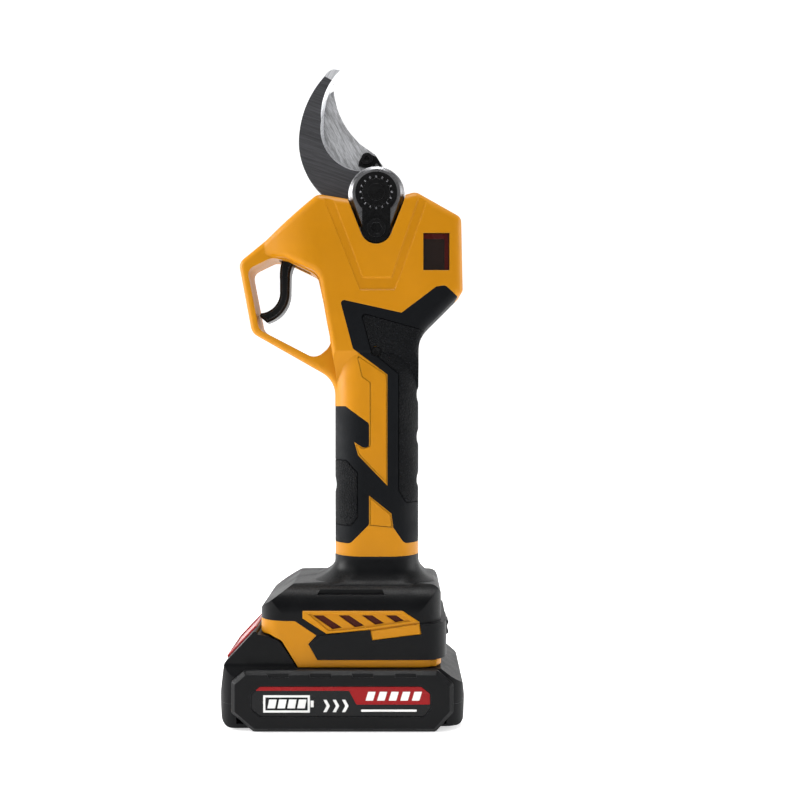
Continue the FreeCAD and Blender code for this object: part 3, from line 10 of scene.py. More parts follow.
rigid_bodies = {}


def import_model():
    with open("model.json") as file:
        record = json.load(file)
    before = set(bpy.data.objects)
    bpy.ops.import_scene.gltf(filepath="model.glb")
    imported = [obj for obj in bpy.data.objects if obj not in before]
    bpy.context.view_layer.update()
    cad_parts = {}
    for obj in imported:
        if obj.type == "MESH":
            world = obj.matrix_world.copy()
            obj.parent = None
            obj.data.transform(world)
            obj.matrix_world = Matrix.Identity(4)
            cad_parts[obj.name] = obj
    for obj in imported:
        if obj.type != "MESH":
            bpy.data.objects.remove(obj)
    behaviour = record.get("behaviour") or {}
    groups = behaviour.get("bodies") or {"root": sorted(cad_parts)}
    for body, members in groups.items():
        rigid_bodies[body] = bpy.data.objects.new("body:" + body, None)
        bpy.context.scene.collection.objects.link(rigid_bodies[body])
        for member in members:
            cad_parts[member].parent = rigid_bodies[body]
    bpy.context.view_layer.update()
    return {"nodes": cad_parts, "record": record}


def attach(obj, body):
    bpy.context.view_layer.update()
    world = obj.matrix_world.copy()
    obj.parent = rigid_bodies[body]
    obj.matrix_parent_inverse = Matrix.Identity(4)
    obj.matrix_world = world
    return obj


bl_info = {
    "name": "Cordless Pruner",
    "version": (1, 0, 0),
    "blender": (4, 5, 0),
    "location": "View3D > Sidebar > Pruner",
    "description": "Builds the finishes, labels and studio of a cordless pruner",
    "category": "Object",
}

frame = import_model()
NODES = frame["nodes"]
MM = 0.001


def srgb(red, green, blue):
    """A colour of 0 to 255 parts as scene-linear values."""
    parts = []
    for part in (red, green, blue):
        share = part / 255
        parts.append(share / 12.92 if share <= 0.04045 else ((share + 0.055) / 1.055) ** 2.4)
    return tuple(parts)


# ---------------------------------------------------------------- settings


class PrunerFinishSettings(bpy.types.PropertyGroup):
    amber: bpy.props.FloatVectorProperty(
        name="Housing", description="Colour of the moulded housing", subtype="COLOR", size=3,
        min=0, max=1, default=srgb(186, 122, 4))
    # The housing's edge colour stands for rubbed plastic and for a painted highlight along the rounded edges.
    amber_rub_and_highlight: bpy.props.FloatVectorProperty(
        name="Housing edges", description="Colour of the housing's rubbed edges", subtype="COLOR", size=3,
        min=0, max=1, default=srgb(240, 180, 44))
    rubber: bpy.props.FloatVectorProperty(
        name="Grip", description="Colour of the soft grip", subtype="COLOR", size=3,
        min=0, max=1, default=srgb(10, 12, 15))
    black: bpy.props.FloatVectorProperty(
        name="Base and pack", description="Colour of the black mouldings", subtype="COLOR", size=3,
        min=0, max=1, default=srgb(8, 9, 11))
    red: bpy.props.FloatVectorProperty(
        name="Red details", description="Colour of the release button and label field", subtype="COLOR",
        size=3, min=0, max=1, default=srgb(146, 6, 12))
    steel: bpy.props.FloatVectorProperty(
        name="Blade steel", description="Colour of the ground steel", subtype="COLOR", size=3,
        min=0, max=1, default=srgb(196, 197, 200))
    coating: bpy.props.FloatVectorProperty(
        name="Blade coating", description="Colour of the fixed blade's dark coating", subtype="COLOR", size=3,
        min=0, max=1, default=srgb(80, 80, 83))
    # How strongly the edges are lightened: partly rubbing, partly a painted highlight.
    rub_and_highlight: bpy.props.FloatProperty(
        name="Edge rub and highlight", description="How much the edges are rubbed", subtype="FACTOR",
        min=0, max=1, default=0.5)


class PrunerLabelSettings(bpy.types.PropertyGroup):
    plate: bpy.props.FloatProperty(
        name="Plate thickness", description="Thickness of the pack's label plate", unit="LENGTH",
        subtype="DISTANCE", min=0.0001, max=0.0005, default=0.00025, precision=5)
    ink: bpy.props.FloatProperty(
        name="Ink thickness", description="Height of the printed marks", unit="LENGTH",
        subtype="DISTANCE", min=0.00002, max=0.0002, default=0.00006, precision=5)
    bars: bpy.props.IntProperty(
        name="Charge bars", description="Bars in the battery pictogram", min=2, max=6, default=4)


class PrunerStageSettings(bpy.types.PropertyGroup):
    distance: bpy.props.FloatProperty(
        name="Camera distance", description="From the camera to the tool's middle plane", unit="LENGTH",
        subtype="DISTANCE", min=0.2, max=2.0, default=0.509)
    lens: bpy.props.FloatProperty(
        name="Lens", description="Focal length of the camera", subtype="DISTANCE_CAMERA", min=20, max=120,
        default=47.25)
    floor: bpy.props.FloatVectorProperty(
        name="Floor", description="Colour of the floor and backdrop", subtype="COLOR", size=3,
        min=0, max=1, default=(0.93, 0.93, 0.93))


# ---------------------------------------------------------------- shared shader groups


def new_group(name, inputs, outputs):
    tree = bpy.data.node_groups.new(name, "ShaderNodeTree")
    for label, kind, value in inputs:
        socket = tree.interface.new_socket(label, in_out="INPUT", socket_type=kind)
        if value is not None:
            socket.default_value = value
    for label, kind in outputs:
        tree.interface.new_socket(label, in_out="OUTPUT", socket_type=kind)
    return tree, tree.nodes.new("NodeGroupInput"), tree.nodes.new("NodeGroupOutput")


def shader_math(tree, operation, first, second=None, clamp=False):
    step = tree.nodes.new("ShaderNodeMath")
    step.operation = operation
    step.use_clamp = clamp
    for socket, value in zip(step.inputs, (first, second)):
        if value is None:
            continue
        if isinstance(value, bpy.types.NodeSocket):
            tree.links.new(value, socket)
        else:
            socket.default_value = value
    return step.outputs[0]


def remap(tree, value, low, high, out_low=0.0, out_high=1.0):
    step = tree.nodes.new("ShaderNodeMapRange")
    step.interpolation_type = "SMOOTHSTEP"
    tree.links.new(value, step.inputs["Value"])
    for label, number in (("From Min", low), ("From Max", high), ("To Min", out_low), ("To Max", out_high)):
        step.inputs[label].default_value = number
    return step.outputs["Result"]


def noise(tree, vector, scale, detail=3.0, rough=0.55):
    step = tree.nodes.new("ShaderNodeTexNoise")
    tree.links.new(vector, step.inputs["Vector"])
    if isinstance(scale, bpy.types.NodeSocket):
        tree.links.new(scale, step.inputs["Scale"])
    else:
        step.inputs["Scale"].default_value = scale
    step.inputs["Detail"].default_value = detail
    step.inputs["Roughness"].default_value = rough
    return step.outputs["Fac"]


def mould_grain_group():
    """Spark-eroded mould texture: a fine even roughness with a faint broad flow."""
    tree, entry, leave = new_group("mould grain", [
        ("Vector", "NodeSocketVector", None), ("Scale", "NodeSocketFloat", 2500.0)], [
        ("Height", "NodeSocketFloat"), ("Flow", "NodeSocketFloat")])
    fine = noise(tree, entry.outputs["Vector"], entry.outputs["Scale"], 2.0)
    flow = noise(tree, entry.outputs["Vector"], 38.0, 3.0)
    tree.links.new(remap(tree, fine, 0.3, 0.7), leave.inputs["Height"])
    tree.links.new(remap(tree, flow, 0.3, 0.7), leave.inputs["Flow"])
    return tree


def pebble_group():
    """Leather-like pebbles of a moulded rubber pad."""
    tree, entry, leave = new_group("pebble grain", [
        ("Vector", "NodeSocketVector", None), ("Scale", "NodeSocketFloat", 900.0)], [
        ("Height", "NodeSocketFloat"), ("Lit tops", "NodeSocketFloat")])
    warp = tree.nodes.new("ShaderNodeTexNoise")
    tree.links.new(entry.outputs["Vector"], warp.inputs["Vector"])
    warp.inputs["Scale"].default_value = 700.0
    shift = tree.nodes.new("ShaderNodeVectorMath")
    shift.operation = "MULTIPLY_ADD"
    tree.links.new(warp.outputs["Color"], shift.inputs[0])
    shift.inputs[1].default_value = (0.0006, 0.0006, 0.0006)
    tree.links.new(entry.outputs["Vector"], shift.inputs[2])
    cells = tree.nodes.new("ShaderNodeTexVoronoi")
    cells.feature = "DISTANCE_TO_EDGE"
    tree.links.new(shift.outputs[0], cells.inputs["Vector"])
    tree.links.new(entry.outputs["Scale"], cells.inputs["Scale"])
    dome = remap(tree, cells.outputs["Distance"], 0.0, 0.3)
    tree.links.new(dome, leave.inputs["Height"])
    # The crowns of the pebbles, which take a painted highlight while the pits take painted shade.
    tree.links.new(remap(tree, cells.outputs["Distance"], 0.18, 0.5), leave.inputs["Lit tops"])
    return tree


def ground_lines_group():
    """Fine parallel scratches of ground or brushed steel, along the turned X axis."""
    tree, entry, leave = new_group("ground lines", [
        ("Vector", "NodeSocketVector", None), ("Turn", "NodeSocketVector", (0.0, 0.0, 0.0)),
        ("Scale", "NodeSocketVector", (60.0, 2600.0, 2600.0))], [
        ("Height", "NodeSocketFloat"), ("Streaks", "NodeSocketFloat")])
    turned = tree.nodes.new("ShaderNodeMapping")
    tree.links.new(entry.outputs["Vector"], turned.inputs["Vector"])
    tree.links.new(entry.outputs["Turn"], turned.inputs["Rotation"])
    spread = tree.nodes.new("ShaderNodeVectorMath")
    spread.operation = "MULTIPLY"
    tree.links.new(turned.outputs["Vector"], spread.inputs[0])
    tree.links.new(entry.outputs["Scale"], spread.inputs[1])
    fine = noise(tree, spread.outputs[0], 1.0, 3.0, 0.6)
    broad = noise(tree, spread.outputs[0], 0.22, 2.0, 0.5)
    both = shader_math(tree, "ADD", shader_math(tree, "MULTIPLY", fine, 0.6),
                       shader_math(tree, "MULTIPLY", broad, 0.4))
    tree.links.new(remap(tree, fine, 0.3, 0.7), leave.inputs["Height"])
    tree.links.new(remap(tree, both, 0.36, 0.64), leave.inputs["Streaks"])
    return tree


def edge_rub_and_highlight_group():
    """Where the rounded normal leaves the face's own, the edge is lightened in patches: partly rubbing,
    partly a painted highlight.
    """
    tree, entry, leave = new_group("edge rub and highlight", [
        ("Vector", "NodeSocketVector", None), ("Rounded", "NodeSocketVector", None),
        ("Amount", "NodeSocketFloat", 0.5)], [("Mask", "NodeSocketFloat")])
    face = tree.nodes.new("ShaderNodeNewGeometry")
    along = tree.nodes.new("ShaderNodeVectorMath")
    along.operation = "DOT_PRODUCT"
    tree.links.new(face.outputs["Normal"], along.inputs[0])
    tree.links.new(entry.outputs["Rounded"], along.inputs[1])
    bend = shader_math(tree, "SUBTRACT", 1.0, along.outputs["Value"])
    edge = remap(tree, bend, 0.01, 0.22)
    patches = remap(tree, noise(tree, entry.outputs["Vector"], 420.0, 4.0), 0.25, 0.75, 0.35, 1.0)
    mask = shader_math(tree, "MULTIPLY", shader_math(tree, "MULTIPLY", edge, patches),
                       entry.outputs["Amount"], clamp=True)
    tree.links.new(mask, leave.inputs["Mask"])
    return tree


def handling_group():
    """Faint smudges and a little dust on faces that look up."""
    tree, entry, leave = new_group("handling", [
        ("Vector", "NodeSocketVector", None), ("Smudge", "NodeSocketFloat", 0.1),
        ("Dust", "NodeSocketFloat", 0.05)], [("Roughness", "NodeSocketFloat"), ("Dust", "NodeSocketFloat")])
    patches = remap(tree, noise(tree, entry.outputs["Vector"], 75.0, 5.0, 0.6), 0.35, 0.7)
    tree.links.new(shader_math(tree, "MULTIPLY", patches, entry.outputs["Smudge"]), leave.inputs["Roughness"])
    face = tree.nodes.new("ShaderNodeNewGeometry")
    parts = tree.nodes.new("ShaderNodeSeparateXYZ")
    tree.links.new(face.outputs["Normal"], parts.inputs[0])
    upward = remap(tree, parts.outputs["Z"], 0.3, 1.0)
    specks = remap(tree, noise(tree, entry.outputs["Vector"], 1500.0, 2.0), 0.42, 0.7)
    dusty = shader_math(tree, "MULTIPLY", shader_math(tree, "MULTIPLY", upward, specks),
                        entry.outputs["Dust"], clamp=True)
    tree.links.new(dusty, leave.inputs["Dust"])
    return tree


def shared_groups():
    makers = {"mould grain": mould_grain_group, "pebble grain": pebble_group,
              "ground lines": ground_lines_group, "edge rub and highlight": edge_rub_and_highlight_group,
              "handling": handling_group}
    return {name: bpy.data.node_groups.get(name) or make() for name, make in makers.items()}


# ---------------------------------------------------------------- materials


class Finish:
    """A material under construction, with the steps that the finishes share."""

    def __init__(self, name, edge=0.0003):
        self.material = bpy.data.materials.new(name)
        self.material.use_nodes = True
        self.tree = self.material.node_tree
        self.surface = self.tree.nodes["Principled BSDF"]
        self.spot = self.tree.nodes.new("ShaderNodeTexCoord").outputs["Object"]
        bevel = self.tree.nodes.new("ShaderNodeBevel")
        bevel.samples = 4
        bevel.inputs["Radius"].default_value = edge
        self.rounded = bevel.outputs["Normal"]
        self.last_normal = self.rounded

    def group(self, name, **values):
        step = self.tree.nodes.new("ShaderNodeGroup")
        step.node_tree = shared_groups()[name]
        self.tree.links.new(self.spot, step.inputs["Vector"])
        for label, value in values.items():
            if isinstance(value, bpy.types.NodeSocket):
                self.tree.links.new(value, step.inputs[label])
            else:
                step.inputs[label].default_value = value
        return step

    def mix(self, share, first, second):
        step = self.tree.nodes.new("ShaderNodeMix")
        step.data_type = "RGBA"
        sockets = [step.inputs[label] for label in ("Factor", "A", "B")]
        for socket, value in zip(sockets, (share, first, second)):
            if isinstance(value, bpy.types.NodeSocket):
                self.tree.links.new(value, socket)
            elif socket.name == "Factor":
                socket.default_value = value
            else:
                socket.default_value = tuple(value)[:3] + (1.0,)
        return step.outputs["Result"]

    def bump(self, height, distance, strength=1.0):
        step = self.tree.nodes.new("ShaderNodeBump")
        step.inputs["Distance"].default_value = distance
        step.inputs["Strength"].default_value = strength
        self.tree.links.new(height, step.inputs["Height"])
        self.tree.links.new(self.last_normal, step.inputs["Normal"])
        self.last_normal = step.outputs["Normal"]

    def feed(self, label, value):
        if isinstance(value, bpy.types.NodeSocket):
            self.tree.links.new(value, self.surface.inputs[label])
        else:
            self.surface.inputs[label].default_value = value

    def done(self, **constants):
        for label, value in constants.items():
            self.feed(label.replace("_", " "), value)
        self.tree.links.new(self.last_normal, self.surface.inputs["Normal"])
        return self.material


def scaled(colour, factor):
    return tuple(min(1.0, part * factor) for part in tuple(colour)[:3])


def moulded(name, colour, rub_and_highlight_colour, rough=0.45, grain=2500.0, depth=0.00002, rub_and_highlight=0.4, dust=0.06, edge=0.0004,
            tint=0.9, sheen=0.17, **constants):
    """A moulded plastic: eroded texture, slight flow in the colour, edges partly rubbed and partly given a
    painted highlight, and handling.
    """
    make = Finish(name, edge)
    texture = make.group("mould grain", Scale=grain)
    hands = make.group("handling", Smudge=0.1, Dust=dust)
    rub_and_highlight_edges = make.group("edge rub and highlight", Rounded=make.rounded, Amount=rub_and_highlight)
    body = make.mix(texture.outputs["Flow"], scaled(colour, tint), scaled(colour, 2 - tint))
    # Edges mixed toward the lighter colour: partly rubbing, partly a painted highlight.
    body = make.mix(rub_and_highlight_edges.outputs["Mask"], body, rub_and_highlight_colour)
    body = make.mix(hands.outputs["Dust"], body, (0.2, 0.2, 0.19))
    make.feed("Base Color", body)
    make.feed("Roughness", shader_math(make.tree, "ADD", hands.outputs["Roughness"], rough - 0.05))
    make.bump(texture.outputs["Height"], depth)
    return make.done(Specular_IOR_Level=sheen, **constants)


def soft_rubber(name, colour, pebbles, rough=0.62):
    make = Finish(name, 0.0005)
    texture = make.group("mould grain", Scale=1700.0)
    hands = make.group("handling", Smudge=0.14, Dust=0.08)
    rub_and_highlight_edges = make.group("edge rub and highlight", Rounded=make.rounded, Amount=0.35)
    body = make.mix(texture.outputs["Flow"], scaled(colour, 0.85), scaled(colour, 1.2))
    make.bump(texture.outputs["Height"], 0.00003)
    if pebbles:
        grain = make.group("pebble grain", Scale=820.0)
        # Pebble crowns painted 2.6 times lighter and pits 0.6 times darker: painted highlight and painted
        # shade.
        body = make.mix(grain.outputs["Lit tops"], scaled(colour, 0.6), scaled(colour, 2.6))
        make.bump(grain.outputs["Height"], 0.0003)
    # Edges lightened threefold: partly rubbing, partly a painted highlight.
    body = make.mix(rub_and_highlight_edges.outputs["Mask"], body, scaled(colour, 3.0))
    body = make.mix(hands.outputs["Dust"], body, (0.12, 0.12, 0.12))
    make.feed("Base Color", body)
    make.feed("Roughness", shader_math(make.tree, "ADD", hands.outputs["Roughness"], rough - 0.07))
    return make.done(Specular_IOR_Level=0.1)


def worked_metal(name, colour, rough=0.3, turn=(0.0, 0.0, 0.0), scale=(60.0, 2600.0, 2600.0), depth=0.00002,
                 spread=0.25, rub_and_highlight=0.3, edge=0.0003, metal=1.0, shine=1.6, **constants):
    """Brushed, ground, turned or cast metal with parallel streaks."""
    make = Finish(name, edge)
    lines = make.group("ground lines", Turn=turn, Scale=scale)
    hands = make.group("handling", Smudge=0.12, Dust=0.03)
    rub_and_highlight_edges = make.group("edge rub and highlight", Rounded=make.rounded, Amount=rub_and_highlight)
    body = make.mix(lines.outputs["Streaks"], scaled(colour, 1 - spread), scaled(colour, 1 + spread))
    # Edges brightened by shine: partly rubbing, partly a painted highlight.
    body = make.mix(rub_and_highlight_edges.outputs["Mask"], body, scaled(colour, shine))
    make.feed("Base Color", body)
    uneven = shader_math(make.tree, "MULTIPLY", lines.outputs["Streaks"], 0.12)
    make.feed("Roughness", shader_math(make.tree, "ADD", shader_math(
        make.tree, "ADD", uneven, hands.outputs["Roughness"]), rough - 0.1))
    make.bump(lines.outputs["Height"], depth)
    return make.done(Metallic=metal, **constants)


# The hook's bare tip starts where z + TIP_LEAN * x passes through TIP_FADE, in metres.
TIP_LEAN = 0.558
TIP_FADE = (0.29895, 0.29925)


def coated_hook(settings):
    """Dark brushed coating, with bare ground metal on the bevels and at the tip."""
    make = Finish("hook coating", 0.0002)
    tree = make.tree
    lines = make.group("ground lines", Turn=(0.0, math.radians(-19), 0.0), Scale=(110.0, 900.0, 6400.0))
    cross = make.group("ground lines", Turn=(0.0, math.radians(62), 0.0), Scale=(160.0, 900.0, 6400.0))
    face = tree.nodes.new("ShaderNodeNewGeometry")
    parts = tree.nodes.new("ShaderNodeSeparateXYZ")
    tree.links.new(face.outputs["True Normal"], parts.inputs[0])
    flat = shader_math(tree, "ABSOLUTE", parts.outputs["Y"])
    slanted = shader_math(tree, "MULTIPLY", remap(tree, flat, 0.995, 0.985), remap(tree, flat, 0.15, 0.3))
    place = tree.nodes.new("ShaderNodeSeparateXYZ")
    tree.links.new(make.spot, place.inputs[0])
    lean = shader_math(tree, "MULTIPLY", place.outputs["X"], TIP_LEAN)
    rise = shader_math(tree, "ADD", place.outputs["Z"], lean)
    tip = remap(tree, rise, *TIP_FADE)
    bare = shader_math(tree, "MAXIMUM", slanted, tip)
    coat = make.mix(lines.outputs["Streaks"], scaled(settings.coating, 0.72), scaled(settings.coating, 1.25))
    ground = make.mix(cross.outputs["Streaks"], scaled(settings.steel, 0.75), scaled(settings.steel, 1.2))
    bright = make.mix(cross.outputs["Streaks"], scaled(settings.steel, 1.1), scaled(settings.steel, 1.7))
    ground = make.mix(tip, ground, bright)
    make.feed("Base Color", make.mix(bare, coat, ground))
    make.feed("Roughness", remap(tree, bare, 0.0, 1.0, 0.42, 0.34))
    make.bump(lines.outputs["Height"], 0.000012)
    return make.done(Metallic=0.75)


def smoked_glass():
    make = Finish("smoked window", 0.0003)
    hands = make.group("handling", Smudge=0.05, Dust=0.02)
    make.feed("Base Color", make.mix(hands.outputs["Dust"], srgb(58, 40, 34), (0.3, 0.3, 0.3)))
    make.feed("Roughness", shader_math(make.tree, "ADD", hands.outputs["Roughness"], 0.04))
    return make.done(Transmission_Weight=0.75, IOR=1.45, Specular_IOR_Level=0.3)


def solder_mask():
    make = Finish("circuit board", 0.0001)
    lines = make.group("ground lines", Scale=(600.0, 600.0, 600.0))
    body = make.mix(lines.outputs["Streaks"], srgb(16, 74, 40), srgb(28, 104, 56))
    make.feed("Base Color", body)
    make.feed("Roughness", remap(make.tree, lines.outputs["Streaks"], 0.0, 1.0, 0.3, 0.45))
    make.bump(lines.outputs["Height"], 0.00002)
    return make.done()


def make_finishes(settings):
    """Every material by the name of its slot in the record."""
    # grey is the lighter edge colour of the black parts: partly rubbing, partly a painted highlight.
    grey = srgb(72, 74, 77)
    return {
        "amber_plastic": moulded("amber plastic", settings.amber, settings.amber_rub_and_highlight, rough=0.4,
                                 rub_and_highlight=settings.rub_and_highlight, tint=0.96, edge=0.0006),
        "inlay_plastic": moulded("inlay plastic", scaled(settings.amber, 0.97), settings.amber_rub_and_highlight,
                                 rough=0.36, grain=3600.0, depth=0.00001, rub_and_highlight=settings.rub_and_highlight, tint=0.96),
        "grip_rubber": soft_rubber("grip rubber", settings.rubber, False),
        "pad_rubber": soft_rubber("pad rubber", scaled(settings.rubber, 0.95), True),
        "base_plastic": moulded("base plastic", settings.black, grey, rough=0.4, rub_and_highlight=0.4, sheen=0.12),
        "pack_plastic": moulded("pack plastic", scaled(settings.black, 0.9), grey, rough=0.42, rub_and_highlight=0.5,
                                sheen=0.12),
        "panel_plastic": moulded("panel plastic", scaled(settings.black, 0.85), grey, rough=0.34,
                                 grain=4200.0, depth=0.00001, rub_and_highlight=0.6, sheen=0.12),
        "smoked_window": smoked_glass(),
        "circuit_board": solder_mask(),
        "cast_metal": worked_metal("cast metal", srgb(150, 150, 152), 0.45, scale=(900.0,) * 3,
                                   depth=0.00006),
        "cover_steel": worked_metal("cover steel", srgb(128, 128, 130), 0.34, turn=(0, math.radians(35), 0),
                                    spread=0.12, rub_and_highlight=0.8),
        # The black steel's edges are lightened fourteenfold to grey rings: a painted highlight, partly
        # rubbing.
        "black_steel": worked_metal("black steel", srgb(9, 9, 10), 0.3, scale=(700.0,) * 3, rub_and_highlight=0.9,
                                    metal=0.0, spread=0.15, shine=14.0, Specular_IOR_Level=0.2),
        "hook_coating": coated_hook(settings),
        "blade_steel": worked_metal("blade steel", settings.steel, 0.38, turn=(0, math.radians(-62), 0),
                                    scale=(420.0, 900.0, 5200.0), depth=0.00001, spread=0.34, metal=0.85),
        "gear_steel": worked_metal("gear steel", srgb(168, 168, 172), 0.32, scale=(900.0, 900.0, 120.0)),
        "bronze": worked_metal("sintered bronze", srgb(178, 140, 88), 0.5, scale=(1800.0,) * 3,
                               depth=0.00004),
        "motor_steel": worked_metal("motor steel", srgb(150, 150, 154), 0.3, scale=(60.0, 60.0, 2600.0)),
        "winding_copper": worked_metal("winding copper", srgb(190, 104, 60), 0.35,
                                       scale=(80.0, 80.0, 3000.0)),
        "contact_brass": worked_metal("contact brass", srgb(204, 172, 104), 0.28),
        "wire_insulation": moulded("wire insulation", srgb(150, 26, 24), (0.6, 0.4, 0.4), rough=0.4),
        "spring_steel": worked_metal("spring steel", srgb(176, 176, 180), 0.28),
        # The trigger's grey edges: partly rubbing, partly a painted highlight.
        "trigger_plastic": moulded("trigger plastic", srgb(13, 14, 15), srgb(96, 98, 102), rough=0.3,
                                   grain=4000.0, depth=0.000008, rub_and_highlight=0.9, edge=0.0008),
        "switch_plastic": moulded("switch plastic", srgb(14, 15, 17), grey, rough=0.3, depth=0.00001),
        "red_plastic": moulded("red plastic", settings.red, srgb(206, 60, 60), rough=0.24, grain=4200.0,
                               depth=0.000006, rub_and_highlight=0.6, tint=0.92, sheen=0.35),
        "cell_wrap": moulded("cell wrap", srgb(70, 120, 176), (0.6, 0.6, 0.6), rough=0.25, depth=0.000005),
        "label_plate": moulded("label plate", srgb(11, 12, 14), grey, rough=0.3, depth=0.000006, rub_and_highlight=0.2),
        "label_red": moulded("label red", scaled(settings.red, 0.92), srgb(220, 70, 70), rough=0.3,
                             depth=0.000006, rub_and_highlight=0.2, tint=0.94),
        "label_ink": moulded("label ink", srgb(232, 232, 230), (0.9, 0.9, 0.9), rough=0.4, depth=0.000004,
                             rub_and_highlight=0.0),
        # Painted shade: the dark brown seen down the vent slots, laid on a sheet behind each grille.
        "vent_painted_shade": moulded("vent painted shade", srgb(62, 16, 2), srgb(100, 44, 12), rough=0.6, grain=1200.0,
                             depth=0.0001, rub_and_highlight=0.2),
        "screen": moulded("screen", srgb(22, 14, 14), srgb(60, 20, 20), rough=0.2, depth=0.000003, rub_and_highlight=0.1),
        "spline_steel": worked_metal("spline steel", srgb(120, 120, 124), 0.25, scale=(900.0,) * 3),
        "screen_rim": moulded("screen rim", srgb(66, 16, 14), srgb(96, 30, 24), rough=0.3, rub_and_highlight=0.3),
    }


# ---------------------------------------------------------------- modelling steps


def outline_plate(shape, points, front, back, corner=0.0):
    """Adds a flat plate in the XZ plane to the bmesh, with rounded corners. All in mm."""
    ring = [shape.verts.new((x * MM, back * MM, z * MM)) for x, z in points]
    base = shape.faces.new(ring)
    made = bmesh.ops.extrude_face_region(shape, geom=[base])
    moved = [item for item in made["geom"] if isinstance(item, bmesh.types.BMVert)]
    bmesh.ops.translate(shape, vec=(0, (front - back) * MM, 0), verts=moved)
    members = set(ring) | set(moved)
    if corner:
        across = [edge for edge in shape.edges if edge.verts[0] in members
                  and abs(edge.verts[0].co.y - edge.verts[1].co.y) > 1e-7]
        bmesh.ops.bevel(shape, geom=across, offset=corner * MM, offset_type="OFFSET", affect="EDGES",
                        segments=5, profile=0.5, material=-1, clamp_overlap=True)


def finished_piece(name, shape, material, body, smooth=True):
    """Turns a bmesh into a piece that rides on a body."""
    bmesh.ops.recalc_face_normals(shape, faces=shape.faces)
    mesh = bpy.data.meshes.new(name)
    shape.to_mesh(mesh)
    shape.free()
    piece = bpy.data.objects.new(name, mesh)
    bpy.context.scene.collection.objects.link(piece)
    mesh.materials.append(material)
    if smooth:
        mesh.shade_smooth()
        mesh.set_sharp_from_angle(angle=math.radians(32))
    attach(piece, body)
    return piece


FINISHES = {}


def finish(name):
    found = FINISHES.get(name)
    if found is None:
        raise RuntimeError(f"the finish {name} isn't made yet")
    return found


class PRUNER_OT_finishes(bpy.types.Operator):
    """Makes every material and gives the carried-over parts theirs"""
    bl_idname = "pruner.finishes"
    bl_label = "Finishes"

    def execute(self, context):
        FINISHES.update(make_finishes(context.scene.pruner_finish))
        for row in frame["record"]["subparts"]:
            piece = NODES[row["node"]]
            piece.data.materials.clear()
            piece.data.materials.append(FINISHES[row["material_slot"]])
        return {"FINISHED"}


LABEL_PLATE = [(-40.2, 17.1), (-36.4, 20.7), (36.1, 20.7), (40.2, 17.5), (40.2, 10.9), (37.1, 7.3),
               (-36.2, 7.3), (-40.2, 10.5)]
LABEL_FIELD = [(-38.5, 18.8), (-36.6, 20.6), (36.0, 20.6), (40.0, 17.4), (40.0, 12.6), (6.9, 12.6),
               (3.6, 18.8)]
LABEL_BACK = 36.8
LABEL_CORNER, FIELD_CORNER, MARK_CORNER = 0.8, 0.5, 0.25


def facing(points, sign):
    """The outline as laid out for the front (sign -1), or turned round for the back (sign 1)."""
    return [(-sign * x, z) for x, z in points]


class PRUNER_OT_pack_labels(bpy.types.Operator):
    """Lays a printed plate with a battery pictogram into both sides of the pack"""
    bl_idname = "pruner.pack_labels"
    bl_label = "Pack labels"

    def execute(self, context):
        settings = context.scene.pruner_label
        plate, ink = settings.plate / MM, settings.ink / MM
        for side, sign in (("front", -1), ("back", 1)):
            top = LABEL_BACK + plate
            shape = bmesh.new()
            outline_plate(shape, facing(LABEL_PLATE, sign), sign * top, sign * LABEL_BACK, LABEL_CORNER)
            finished_piece(f"{side}_label_plate", shape, finish("label_plate"), "battery")
            shape = bmesh.new()
            outline_plate(shape, facing(LABEL_FIELD, sign), sign * (top + ink), sign * top, FIELD_CORNER)
            finished_piece(f"{side}_label_field", shape, finish("label_red"), "battery")
            shape = bmesh.new()
            self.pictogram(shape, sign, top, ink, settings.bars)
            finished_piece(f"{side}_label_marks", shape, finish("label_ink"), "battery")
        return {"FINISHED"}

    @staticmethod
    def pictogram(shape, sign, top, ink, bars):
        """A battery with its charge bars, three chevrons, five blocks on the red field and a line."""
        def mark(points, level=1.0, corner=MARK_CORNER):
            outline_plate(shape, facing(points, sign), sign * (top + ink * level),
                          sign * (top + ink * (level - 1)), corner)

        left, right, low, high, line = -35.0, -14.0, 9.0, 16.8, 1.0
        mark([(left, low), (right, low), (right, low + line), (left, low + line)], corner=0.0)
        mark([(left, high - line), (right, high - line), (right, high), (left, high)], corner=0.0)
        mark([(left, low + line), (left + line, low + line), (left + line, high - line), (left, high - line)],
             corner=0.0)
        mark([(right - line, low + line), (right, low + line), (right, high - line),
              (right - line, high - line)], corner=0.0)
        mark([(right + 0.3, low + 2.4), (right + 1.7, low + 2.4), (right + 1.7, high - 2.4),
              (right + 0.3, high - 2.4)], corner=0.0)
        margin = 1.9
        pitch = (right - left - 3.2) / bars
        for number in range(bars):
            start = left + margin + pitch * number
            mark([(start, low + margin), (start + pitch - 1.0, low + margin),
                  (start + pitch - 0.2, high - margin), (start + 0.8, high - margin)])
        for number in range(3):
            start = -8.0 + 4.2 * number
            mark([(start, 9.2), (start + 1.5, 9.2), (start + 3.0, 12.0), (start + 1.5, 14.8), (start, 14.8),
                  (start + 1.5, 12.0)])
        for number in range(5):
            start = 11.0 + 5.2 * number
            mark([(start, 14.4), (start + 3.4, 14.4), (start + 4.6, 18.4), (start + 1.2, 18.4)], 2.0)
        mark([(9.0, 9.4), (34.0, 9.4), (34.0, 10.4), (9.0, 10.4)])


# Outline of the dark sheet behind each grille, painted shade seen through the vent slots.
VENT_SHADE_SHEET = [(-14.6, 51.8), (26.9, 51.8), (30.4, 47.4), (-7.6, 44.6)]
SHADE_SHEET_FRONT, SHADE_SHEET_BACK = 31.0, 30.4


